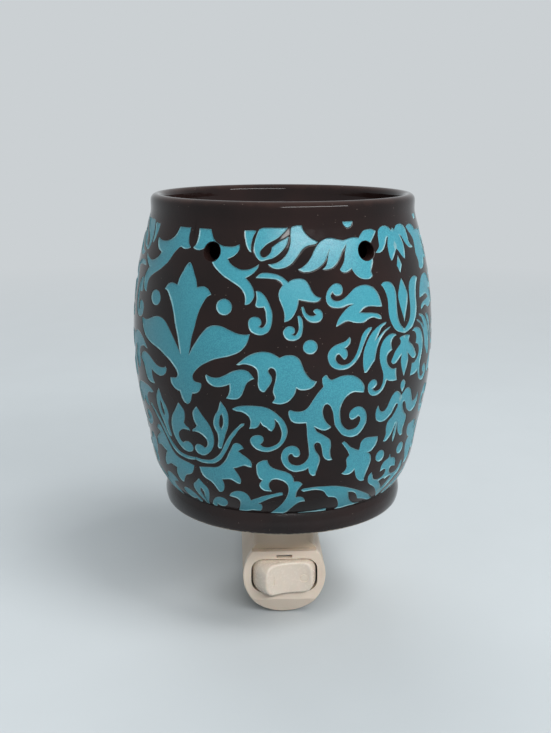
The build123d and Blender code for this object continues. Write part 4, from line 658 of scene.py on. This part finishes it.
def vent_circle(angle, radius, band):
    """A circle about a vent's axis, as flat points of that band."""
    turn = np.linspace(0, 2 * math.pi, VENT_POINTS, endpoint=False)
    z = VENT_Z + radius * np.sin(turn)
    across = np.degrees(np.arcsin(radius * np.cos(turn) / side(z)[0]))
    return np.stack([to_flat(angle + across, band), z], axis=-1)


def vent_distance(angles, z, vent):
    """How far points of the side are from a vent's axis, in millimetres."""
    across = side(z)[0] * np.sin(np.radians(angles - vent))
    return np.hypot(across, z - VENT_Z)


def hole_rim(points, faces, angles, z, vent):
    """The points round a vent's hole in order, found as the edges that only one face has."""
    count = {}
    near = set(np.where(vent_distance(angles, z, vent) < VENT_NEAR)[0])
    for a, b, c in faces:
        for edge in ((a, b), (b, c), (c, a)):
            if edge[0] in near and edge[1] in near:
                key = (min(edge), max(edge))
                count[key] = count.get(key, 0) + 1
    rim = sorted({i for edge, times in count.items() if times == 1 for i in edge})
    turn = np.arctan2(z[rim] - VENT_Z, side(z[rim])[0] * np.sin(np.radians(angles[rim] - vent)))
    return np.array(rim)[np.argsort(turn)], np.sort(turn)


def sunk(distance, in_ornament):
    """How deep the surface lies at a distance from the outlines."""
    lip = LIP_DROP * (1 - np.minimum(distance / LIP_WIDTH, 1)) ** 2
    share = np.minimum(distance / WALL_WIDTH, 1)
    return np.where(in_ornament, LIP_DROP + (RECESS - LIP_DROP) * share, lip)


def add_band(skin, band, lines, runs, nearness):
    """One band of the outside with its ornament and vents. Returns the rims of its vents."""
    low = np.array([LEFT_AXIS * FLAT_SCALE, WAIST_Z])
    high = np.array([RIGHT_AXIS * FLAT_SCALE, COLLAR_Z])
    net = FlatNet()
    rows = round((COLLAR_Z - WAIST_Z) / GRID_STEP)
    net.add_border(np.linspace(low[0], high[0], COLUMNS + 1), np.linspace(WAIST_Z, COLLAR_Z, rows + 1))
    for run, closed in runs:
        net.add(run, closed)
    vents = vents_in(band)
    for vent in vents:
        net.add(vent_circle(vent, VENT_RADIUS + VENT_LIP, band), True)
        net.add(vent_circle(vent, VENT_HOLE, band), True)
    net.fill(low, high, GRID_STEP, GRID_GAP)
    points, faces = net.triangles()
    angles, z = to_world(points[:, 0], band), points[:, 1]
    middle = points[faces].mean(axis=1)
    middle_angles = to_world(middle[:, 0], band)
    for vent in vents:
        keep = vent_distance(middle_angles, middle[:, 1], vent) > VENT_CUT
        faces, middle, middle_angles = faces[keep], middle[keep], middle_angles[keep]

    distance = nearness(points)
    centre_in = inside(middle, lines)
    depth = sunk(distance, inside(points, lines))
    depth[distance < ON_LINE] = LIP_DROP
    walled = centre_in & (distance < AT_WALL)[faces].any(axis=1)
    lipped = (distance < AT_LIP)[faces].any(axis=1)
    materials = np.where(centre_in, TEAL, BROWN)
    materials[walled] = EDGE
    kinds = np.where(np.where(centre_in, walled, lipped), WALL, SMOOTH)
    for vent in vents:
        depth = np.where(vent_distance(angles, z, vent) < VENT_BEND, depth + VENT_DROP, depth)
        ringed = vent_distance(middle_angles, middle[:, 1], vent) < VENT_RING
        materials[ringed] = BROWN
        kinds[ringed] = PLAIN
    if band[2]:
        faces = faces[:, ::-1]
    radius = side(z)[0] - depth
    used = np.unique(faces)
    renumber = np.zeros(len(points), int)
    renumber[used] = np.arange(len(used))
    world = around(angles[used], radius[used], z[used])
    skin.add(world, renumber[faces], materials, kinds)
    rims = []
    for vent in vents:
        rim, turn = hole_rim(points, faces, angles, z, vent)
        rims.append((vent, turn, around(angles[rim], radius[rim], z[rim])))
    return rims


def in_vent(vent, across, z, radius):
    """A point of a vent's tube, where the tube meets the circle of that radius about the shade's axis."""
    along = np.sqrt(radius ** 2 - across ** 2)
    turn = math.radians(vent)
    return np.stack([
        along * math.sin(turn) + across * math.cos(turn),
        POT_Y - along * math.cos(turn) + across * math.sin(turn),
        z,
    ], axis=-1)


def add_vents(skin, rims):
    """The tubes of the vents, from their rounded mouths to the hollow."""
    for vent, turn, mouth in rims:
        across, z = VENT_RADIUS * np.cos(turn), VENT_Z + VENT_RADIUS * np.sin(turn)
        rows = [mouth]
        for depth in (TUBE_START, SHADE_WALL / 2, SHADE_WALL):
            rows.append(in_vent(vent, across, z, side(z)[0] - depth))
        skin.add_plain(np.vstack(rows), quads(len(rows), len(turn)))


def add_inner_wall(skin, rims):
    """The hollow's wall: plain rings below, and a band with the vents' holes above."""
    split_z = VENT_Z - 3 * VENT_RADIUS
    heights = np.linspace(FLOOR_TOP_Z, split_z, WALL_RINGS)
    skin.rings([(side(z)[0] - SHADE_WALL, z) for z in heights], inward=True)
    net = FlatNet()
    scale = FLAT_SCALE
    full = np.append(skin.angles, skin.angles[0] + 360)
    net.add_border(full * scale, np.linspace(split_z, HOLLOW_TOP_Z, INNER_ROWS))
    places = []
    for vent, turn, mouth in rims:
        z = VENT_Z + VENT_RADIUS * np.sin(turn)
        offset = np.degrees(np.arcsin(VENT_RADIUS * np.cos(turn) / (side(z)[0] - SHADE_WALL)))
        centre = full[0] + (vent - full[0]) % 360
        net.add(np.stack([(centre + offset) * scale, z], axis=-1), True)
        places.append(centre)
    net.fill((full[0] * scale, split_z), (full[-1] * scale, HOLLOW_TOP_Z), INNER_STEP, INNER_GAP)
    points, faces = net.triangles()
    middle = points[faces].mean(axis=1)
    keep = np.ones(len(faces), bool)
    for centre in places:
        across = (side(middle[:, 1])[0] - SHADE_WALL) * np.sin(np.radians(middle[:, 0] / scale - centre))
        close = np.abs(middle[:, 0] / scale - centre) < VENT_REACH_DEGREES
        keep &= ~((np.hypot(across, middle[:, 1] - VENT_Z) < VENT_RADIUS) & close)
    world = around(points[:, 0] / scale, side(points[:, 1])[0] - SHADE_WALL, points[:, 1])
    skin.add_plain(world, faces[keep][:, ::-1])


def arc(centre, radii, start, end, count):
    """Points of (radius, height) along part of an ellipse, with angles in degrees from +radius to +height."""
    turn = np.radians(np.linspace(start, end, count + 1))
    return [(centre[0] + radii[0] * math.cos(t), centre[1] + radii[1] * math.sin(t)) for t in turn]


def through(points, count):
    """Points of (radius, height) on a smooth line from the first through the second to the third."""
    a, b, c = np.array(points)
    t = np.linspace(0, 1, count + 1)[:, None]
    return list(a * (1 - t) * (1 - 2 * t) + b * 4 * t * (1 - t) + c * t * (2 * t - 1))


def add_rest(skin):
    """The collar, rim, dish, foot, underside and the hollow's floor and ceiling."""
    crest = RIM_OUTER - RIM_WIDTH / 2
    collar = [(float(side(z)[0]), z) for z in np.linspace(COLLAR_Z, RIM_Z - CREASE, COLLAR_RINGS)]
    skin.rings(collar + arc((crest, RIM_Z), (RIM_WIDTH / 2, RIM_WIDTH / 2), 0, 180, RIM_STEPS))
    depth = RIM_Z - DISH_FLOOR_Z
    width = RIM_INNER - DISH_FLOOR_RADIUS
    skin.rings(arc((DISH_FLOOR_RADIUS, RIM_Z), (width, depth), 0, -90, DISH_STEPS))
    skin.rings([(DISH_FLOOR_RADIUS, DISH_FLOOR_Z), (DISH_FLOOR_RADIUS / 2, DISH_FLOOR_Z)])
    skin.cap(DISH_FLOOR_RADIUS / 2, DISH_FLOOR_Z)
    foot = [
        (FOOT_INNER, FLOOR_Z),
        (FOOT_INNER, FOOT_Z + FOOT_ROUND),
        (FOOT_INNER + FOOT_ROUND, FOOT_Z),
        (FOOT_EDGE_RADIUS - FOOT_ROUND, FOOT_Z),
        (FOOT_EDGE_RADIUS - FOOT_ROUND / 4, FOOT_Z + FOOT_ROUND / 4),
    ]
    bead = ((FOOT_EDGE_RADIUS, FOOT_Z), (FOOT_BEAD_RADIUS, FOOT_BEAD_Z), (KNOT_R[0], WAIST_Z))
    skin.rings(foot + through(bead, FOOT_STEPS)[1:], FOOT)
    skin.rings([(OPENING_RADIUS, FLOOR_Z), (FOOT_INNER, FLOOR_Z)])
    skin.rings([(OPENING_RADIUS, FLOOR_TOP_Z), (OPENING_RADIUS, FLOOR_Z)])
    skin.rings([(side(FLOOR_TOP_Z)[0] - SHADE_WALL, FLOOR_TOP_Z), (OPENING_RADIUS, FLOOR_TOP_Z)])
    width, depth = width + SHADE_WALL, depth + SHADE_WALL
    start = math.degrees(math.asin((HOLLOW_TOP_Z - RIM_Z) / depth))
    ceiling = arc((DISH_FLOOR_RADIUS, RIM_Z), (width, depth), start, -90, CEILING_STEPS)
    skin.rings([(side(HOLLOW_TOP_Z)[0] - SHADE_WALL, HOLLOW_TOP_Z)] + ceiling, inward=True)
    skin.cap(DISH_FLOOR_RADIUS, DISH_FLOOR_Z - SHADE_WALL, downward=True)


def put_in_scene(name, data):
    thing = bpy.data.objects.new(name, data)
    bpy.context.scene.collection.objects.link(thing)
    return thing


def make_shade():
    """The glazed shade with its sunk ornament, in place of the plain solid."""
    lines = ornament()
    nearness = Nearness(lines)
    runs = flat_lines(lines, nearness)
    skin = Skin([start + span * i / COLUMNS for start, span, mirrored in BANDS for i in range(COLUMNS)])
    rims = []
    for band in BANDS:
        rims += add_band(skin, band, lines, runs, nearness)
    add_vents(skin, rims)
    add_inner_wall(skin, rims)
    add_rest(skin)

    mesh = bpy.data.meshes.new("glazed_shade")
    mesh.from_pydata((np.vstack(skin.points) * MM).tolist(), [], skin.faces)
    mesh.polygons.foreach_set("material_index", np.array(skin.materials, np.int32))
    kinds = mesh.attributes.new("kind", "INT", "FACE")
    kinds.data.foreach_set("value", np.array(skin.kinds, np.int32))
    work = bmesh.new()
    work.from_mesh(mesh)
    bmesh.ops.remove_doubles(work, verts=work.verts, dist=MERGE_DISTANCE)
    work.to_mesh(mesh)
    work.free()
    for material in (brown_glaze(), teal_glaze(), edge_glaze(), foot_glaze()):
        mesh.materials.append(material)
    mesh.shade_smooth()
    mesh.set_sharp_from_angle(angle=math.radians(SHARP_ANGLE))
    follow_side(mesh)
    shade = put_in_scene("glazed_shade", mesh)
    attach(shade, "shade")
    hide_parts("ceramic_shade")


def read(owner, key, size, kind=np.int32):
    values = np.zeros(size, kind)
    owner.foreach_get(key, values)
    return values


def follow_side(mesh):
    """Gives the outer band's flat parts the normals of the plain side, so that reflections run clean."""
    kinds = read(mesh.attributes["kind"].data, "value", len(mesh.polygons))
    face_of = np.repeat(np.arange(len(mesh.polygons)), read(mesh.polygons, "loop_total", len(mesh.polygons)))
    vertex_of = read(mesh.loops, "vertex_index", len(mesh.loops))
    places = read(mesh.vertices, "co", len(mesh.vertices) * 3, np.float32).reshape(-1, 3) / MM
    x, y = places[:, 0], places[:, 1] - POT_Y
    size = np.maximum(np.hypot(x, y), 1e-9)
    radius, slope = side(places[:, 2])
    normals = np.stack([x / size, y / size, -slope], axis=-1)
    normals /= np.linalg.norm(normals, axis=1)[:, None]
    level = np.abs(size - radius) < LEVEL_SLACK
    kind = kinds[face_of]
    follows = (kind == SMOOTH) | ((kind == WALL) & level[vertex_of])
    mesh.normals_split_custom_set(np.where(follows[:, None], normals[vertex_of], 0.0).tolist())
    mesh.attributes.remove(mesh.attributes["kind"])


def colour(text):
    """A colour written as on a screen, such as 2A1E1E, for a shader."""
    values = [int(text[i:i + 2], 16) / 255 for i in (0, 2, 4)]
    linear = [v / 12.92 if v <= 0.04045 else ((v + 0.055) / 1.055) ** 2.4 for v in values]
    return (*linear, 1)


class Tree:
    """A node tree, and short ways to add to it."""

    def __init__(self, owner):
        owner.use_nodes = True
        self.nodes, self.links = owner.node_tree.nodes, owner.node_tree.links

    def put(self, node, inputs):
        """Gives a node its inputs: numbers, colours written as on a screen, or other nodes' outputs."""
        for key, value in inputs.items():
            if isinstance(value, bpy.types.NodeSocket):
                self.links.new(value, node.inputs[key])
            else:
                node.inputs[key].default_value = colour(value) if isinstance(value, str) else value

    def add(self, kind, inputs, output=0, **settings):
        """One output of a new node."""
        node = self.nodes.new(kind)
        for key, value in settings.items():
            setattr(node, key, value)
        self.put(node, inputs)
        return node.outputs[output]

    def between(self, value, low, high, first=0.0, last=1.0, **settings):
        """First where value is low, last where it is high, and in proportion between them."""
        inputs = {"Value": value, "From Min": low, "From Max": high, "To Min": first, "To Max": last}
        return self.add("ShaderNodeMapRange", inputs, "Result", **settings)

    def seen_directly(self):
        """1 where the background is seen straight, mirrored or through glass, and 0 where it only lights."""
        path = self.nodes.new("ShaderNodeLightPath")
        value = path.outputs["Is Camera Ray"]
        for name in ("Is Glossy Ray", "Is Transmission Ray"):
            value = self.add("ShaderNodeMath", {0: value, 1: path.outputs[name]}, operation="MAXIMUM")
        return value

    def show(self, share, under, over, output):
        """Sends the two shaders, mixed by share, to the tree's output."""
        mixed = self.add("ShaderNodeMixShader", {"Fac": share, 1: under, 2: over})
        self.put(self.nodes[output], {"Surface": mixed})


class Finish(Tree):
    """One material and its nodes. Scales are in features per metre."""

    # most of a noise's values lie between these
    NOISE_SPAN = (0.3, 0.7)

    def __init__(self, name, **sockets):
        self.material = bpy.data.materials.new(name)
        super().__init__(self.material)
        self.shader = self.nodes["Principled BSDF"]
        self.coordinates = self.add("ShaderNodeTexCoord", {}, "Object")
        self.put(self.shader, {key.replace("_", " "): value for key, value in sockets.items()})

    def stretched(self, scale):
        """The coordinates scaled unevenly, for brushed or drawn marks."""
        return self.add("ShaderNodeMapping", {"Vector": self.coordinates, "Scale": scale})

    def noise(self, scale, detail=3.0, vector=None):
        vector = vector or self.coordinates
        inputs = {"Vector": vector, "Scale": scale, "Detail": detail, "Roughness": 0.5}
        return self.add("ShaderNodeTexNoise", inputs, "Fac")

    def specks(self, scale, share):
        """1 in scattered small round spots and 0 between them."""
        inputs = {"Vector": self.coordinates, "Scale": scale}
        return self.between(self.add("ShaderNodeTexVoronoi", inputs, "Distance"), share, share * 0.5)

    def height(self, low, high, ragged, scale):
        """0 below low and 1 above high, in millimetres, with an edge that wanders by ragged."""
        value = self.add("ShaderNodeSeparateXYZ", {"Vector": self.coordinates}, "Z")
        wander = self.between(self.noise(scale), *self.NOISE_SPAN, -ragged * MM, ragged * MM)
        return self.between(self.add("ShaderNodeMath", {0: value, 1: wander}), low * MM, high * MM)

    def mix(self, share, a, b):
        """Two colours mixed by share, through the node's colour sockets 6 and 7."""
        return self.add("ShaderNodeMix", {0: share, 6: a, 7: b}, 2, data_type="RGBA")

    def blend(self, share, a, b):
        """Two numbers mixed by share."""
        return self.add("ShaderNodeMix", {0: share, 2: a, 3: b}, 0, data_type="FLOAT")

    def tone(self, scale, detail, low=0.35, high=0.65):
        """Clouds between 0 and 1."""
        return self.between(self.noise(scale, detail), low, high)

    def base(self, value):
        self.put(self.shader, {"Base Color": value})

    def roughness(self, value, low, high):
        self.put(self.shader, {"Roughness": self.between(value, *self.NOISE_SPAN, low, high)})

    def bump(self, value, depth):
        """Relief of depth millimetres. A later call adds to an earlier one."""
        inputs = {"Height": value, "Strength": 1.0, "Distance": depth * MM}
        socket = self.shader.inputs["Normal"]
        if socket.is_linked:
            inputs["Normal"] = socket.links[0].from_socket
        self.links.new(self.add("ShaderNodeBump", inputs), socket)


def glaze_body(finish):
    """The dark glaze's colour: two browns, warmer where it is thin on the crest, with scattered dust."""
    body = finish.mix(finish.tone(45, 4), "1B1312", "281A18")
    body = finish.mix(finish.height(CREST_Z - 1.4, CREST_Z + 0.2, 0.5, 250), body, "35241F")
    return finish.mix(finish.specks(520, 0.055), body, "8F8078")


def brown_glaze():
    finish = Finish("brown_glaze", Specular_IOR_Level=0.22)
    finish.base(glaze_body(finish))
    finish.roughness(finish.noise(160, 4), 0.03, 0.1)
    finish.bump(finish.noise(70, 2), 0.16)
    finish.bump(finish.noise(900, 2), 0.006)
    return finish.material


def teal_glaze():
    finish = Finish("teal_glaze", Specular_IOR_Level=0.7)
    body = finish.mix(finish.tone(38, 3), "2B8396", "3492A4")
    body = finish.mix(finish.tone(3200, 2, 0.42, 0.6), body, "439EAD")
    finish.base(finish.mix(finish.specks(900, 0.05), body, "1F4650"))
    finish.roughness(finish.noise(1500, 3), 0.28, 0.42)
    finish.bump(finish.noise(2600, 3), 0.03)
    return finish.material


def edge_glaze():
    """The pale break of the teal along the ornament's cut walls."""
    finish = Finish("edge_glaze")
    finish.base(finish.mix(finish.tone(420, 3, 0.4, 0.62), "5F96A0", "86AFB4"))
    finish.roughness(finish.noise(900, 2), 0.35, 0.55)
    finish.bump(finish.noise(1800, 2), 0.02)
    return finish.material


def foot_glaze():
    """The foot: glazed above, with the bare biscuit showing along its lowest edge."""
    finish = Finish("foot_glaze", Specular_IOR_Level=0.3)
    glaze = glaze_body(finish)
    sand = finish.mix(finish.noise(1500, 3), "B9A793", "DCCDB9")
    sand = finish.mix(finish.specks(1100, 0.12), sand, "6D5A4B")
    cover = finish.height(FOOT_Z + 0.25, FOOT_Z + 0.45, 0.16, 900)
    finish.base(finish.mix(cover, sand, glaze))
    finish.put(finish.shader, {"Roughness": finish.blend(cover, 0.85, 0.16)})
    finish.bump(finish.noise(70, 2), 0.12)
    finish.bump(finish.noise(1500, 3), 0.03)
    return finish.material


def moulded_plastic(name, light, shade, rough, grain=0.006):
    """A moulded plastic: faint flow marks, a fine spark grain and a little dust."""
    finish = Finish(name, Specular_IOR_Level=0.5, Subsurface_Weight=0.06, Subsurface_Scale=0.002)
    body = finish.mix(finish.tone(60, 3), light, shade)
    finish.base(finish.mix(finish.specks(420, 0.03), body, "C6B9A3"))
    finish.roughness(finish.noise(1200, 3), rough - 0.06, rough + 0.08)
    finish.bump(finish.noise(3200, 2), grain)
    return finish.material


def rubber():
    finish = Finish("gasket_rubber", Specular_IOR_Level=0.35)
    finish.base(finish.mix(finish.noise(500, 4), "1B1B1C", "2C2B2B"))
    finish.roughness(finish.noise(800, 3), 0.62, 0.8)
    finish.bump(finish.noise(2200, 3), 0.03)
    return finish.material


def metal(name, light, dark, rough, lines=(1, 1, 1), worn=0.5):
    """A worked metal: drawn lines along one way, stains and worn spots."""
    finish = Finish(name, Metallic=1.0)
    drawn = finish.noise(700, 3, vector=finish.stretched(lines))
    stain = finish.between(finish.noise(180, 4), 0.42, 0.7, 0.0, worn)
    finish.base(finish.mix(stain, light, dark))
    finish.roughness(drawn, rough - 0.08, rough + 0.12)
    finish.bump(drawn, 0.008)
    return finish.material


def lamp_glass():
    finish = Finish("lamp_glass", Transmission_Weight=1.0, IOR=1.5, Roughness=0.0)
    finish.base(finish.mix(finish.height(44, 56, 1.5, 300), "E9E4DA", "F8FAF8"))
    finish.bump(finish.noise(130, 2), 0.02)
    return finish.material


def insulator_glass():
    finish = Finish("insulator_glass", Coat_Weight=0.6, Coat_Roughness=0.05)
    finish.base(finish.mix(finish.noise(600, 3), "14110F", "2A2320"))
    finish.roughness(finish.noise(500, 2), 0.12, 0.3)
    finish.bump(finish.noise(600, 2), 0.02)
    return finish.material


def insulation(name, light, dark):
    """Extruded wire insulation, slightly scuffed."""
    finish = Finish(name)
    finish.base(finish.mix(finish.noise(700, 3), light, dark))
    finish.roughness(finish.noise(1200, 3), 0.38, 0.55)
    finish.bump(finish.noise(1800, 2, vector=finish.stretched((1, 1, 0.15))), 0.015)
    return finish.material


def dress(names, material):
    """Gives the nodes of those names their material."""
    for name in names.split():
        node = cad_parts[name]
        if not node.data.materials:
            node.data.materials.append(material)
        for slot in node.material_slots:
            slot.material = material


def dress_nodes():
    ivory = moulded_plastic("ivory_body", "E4D2BD", "DAC7B1", 0.42)
    dress("housing_left housing_right base_plate plug_disc", ivory)
    dress("switch_bezel", moulded_plastic("ivory_cap", "EFDFCE", "E5D5C3", 0.33))
    dress("switch_rocker", moulded_plastic("ivory_rocker", "F1E5D6", "E9DBCA", 0.24, 0.003))
    dress("switch_body", moulded_plastic("dark_switch", "2A2A2B", "39383A", 0.5))
    white = moulded_plastic("white_thermoset", "D9D6CC", "C8C4B8", 0.55)
    dress("switch_plunger contact_carrier socket_body", white)
    spring = metal("spring_steel", "B9BABB", "7E7C79", 0.3, (1, 1, 0.1))
    dress("spring_clip_1 spring_clip_2 spring_clip_3 switch_spring", spring)
    dress("housing_screws clip_screws", metal("screw_steel", "C2C3C2", "85827C", 0.34))
    dress("blade_live blade_neutral", metal("blade_brass", "CDB886", "A08A55", 0.28, (1, 0.08, 1)))
    contact = metal("contact_brass", "CCAC6C", "8E7240", 0.34, (1, 0.1, 1))
    dress("switch_seesaw switch_common_terminal switch_load_terminal", contact)
    dress("wiper_live wiper_neutral socket_center_contact", contact)
    shell = metal("plated_shell", "C9C7C0", "8C877B", 0.3, (0.1, 0.1, 1))
    dress("socket_shell bulb_screw_base", shell)
    dress("bulb_contact", metal("solder", "B4B5B6", "74736F", 0.42, worn=0.8))
    dress("bulb_lead_wires", metal("nickel_wire", "BDBBB4", "87837B", 0.28))
    dress("bulb_filament", metal("tungsten", "8B8A8C", "565557", 0.45))
    dress("bulb_glass bulb_stem", lamp_glass())
    dress("bulb_insulator", insulator_glass())
    dress("shade_gasket", rubber())
    dress("lead_live lead_switched", insulation("black_insulation", "202021", "303031"))
    dress("lead_neutral", insulation("white_insulation", "DAD8D2", "C4C1B8"))


def make_floor():
    """A plain pale floor that keeps the object's shadow. Far off it shows the backdrop's own colour. To the
    light it throws back it is the darker 84898C: painted shade that deepens the shade on the object's
    underside.
    """
    mesh = bpy.data.meshes.new("floor")
    work = bmesh.new()
    bmesh.ops.create_grid(work, x_segments=4, y_segments=4, size=FLOOR_SIZE)
    work.to_mesh(mesh)
    work.free()
    floor = put_in_scene("floor", mesh)
    floor.location = (0, 0, FLOOR_LEVEL)
    finish = Finish("floor_paint", Roughness=0.8, Specular_IOR_Level=0.1)
    seen = finish.seen_directly()
    # painted shade: light bounced off the floor takes the darker 84898C, while the floor looks pale where it
    # is seen directly
    finish.base(finish.mix(seen, "84898C", finish.mix(finish.noise(30), "BBC1C4", "BFC5C8")))
    finish.bump(finish.noise(500), 0.02)
    inputs = {0: finish.coordinates}
    distance = finish.add("ShaderNodeVectorMath", inputs, "Value", operation="LENGTH")
    inputs = {0: finish.between(distance, NEAR_FLOOR, FAR_FLOOR), 1: seen}
    share = finish.add("ShaderNodeMath", inputs, operation="MULTIPLY")
    plain = finish.add("ShaderNodeEmission", {"Color": BACKDROP})
    finish.show(share, finish.shader.outputs["BSDF"], plain, "Material Output")
    mesh.materials.append(finish.material)


def area_lamp(name, place, aim, width, height, power, tint=(1, 1, 1), mirrored=True):
    data = bpy.data.lights.new(name, "AREA")
    data.shape = "RECTANGLE"
    data.size, data.size_y = width, height
    data.energy = power
    data.color = tint
    lamp = put_in_scene(name, data)
    lamp.location = place
    lamp.visible_glossy = mirrored
    lamp.rotation_euler = (Vector(aim) - Vector(place)).to_track_quat("-Z", "Y").to_euler()


def make_light():
    """Plain soft studio light: a long strip before and above the object, a broad fill, and a pale room."""
    middle = (0.0, POT_Y * MM, 0.07)
    area_lamp("window", (0.45, -0.98, 0.72), middle, 1.2, 0.15, 10.5)
    area_lamp("key", (0.5, -0.55, 1.3), middle, 0.5, 0.5, 10, mirrored=False)
    area_lamp("fill_left", (-1.1, -0.7, 0.55), middle, 0.9, 0.9, 1, (0.95, 0.98, 1.0), False)
    area_lamp("back", (-0.2, 0.8, 1.1), middle, 0.9, 0.9, 6, mirrored=False)
    world = bpy.data.worlds.new("room")
    bpy.context.scene.world = world
    tree = Tree(world)
    direction = tree.add("ShaderNodeTexCoord", {}, "Generated")
    rise = tree.add("ShaderNodeSeparateXYZ", {"Vector": direction}, "Z")
    heights, lights = (WALL_END, CEILING_START), (WALL_LIGHT, CEILING_LIGHT)
    light = tree.between(rise, *heights, *lights, interpolation_type="SMOOTHSTEP")
    room = tree.nodes["Background"]
    tree.put(room, {"Color": "D8DDE0", "Strength": light})
    backdrop = tree.add("ShaderNodeBackground", {"Color": BACKDROP})
    tree.show(tree.seen_directly(), room.outputs["Background"], backdrop, "World Output")


def make_camera():
    data = bpy.data.cameras.new("camera")
    data.lens = CAMERA_LENS
    data.clip_start, data.clip_end = 0.01, 20
    camera = put_in_scene("camera", data)
    camera.location = CAMERA_PLACE
    camera.rotation_euler = Euler([math.radians(turn) for turn in CAMERA_TURN])
    bpy.context.scene.camera = camera


bpy.context.scene.view_settings.view_transform = "Standard"
make_camera()
make_light()
make_floor()
make_shade()
dress_nodes()
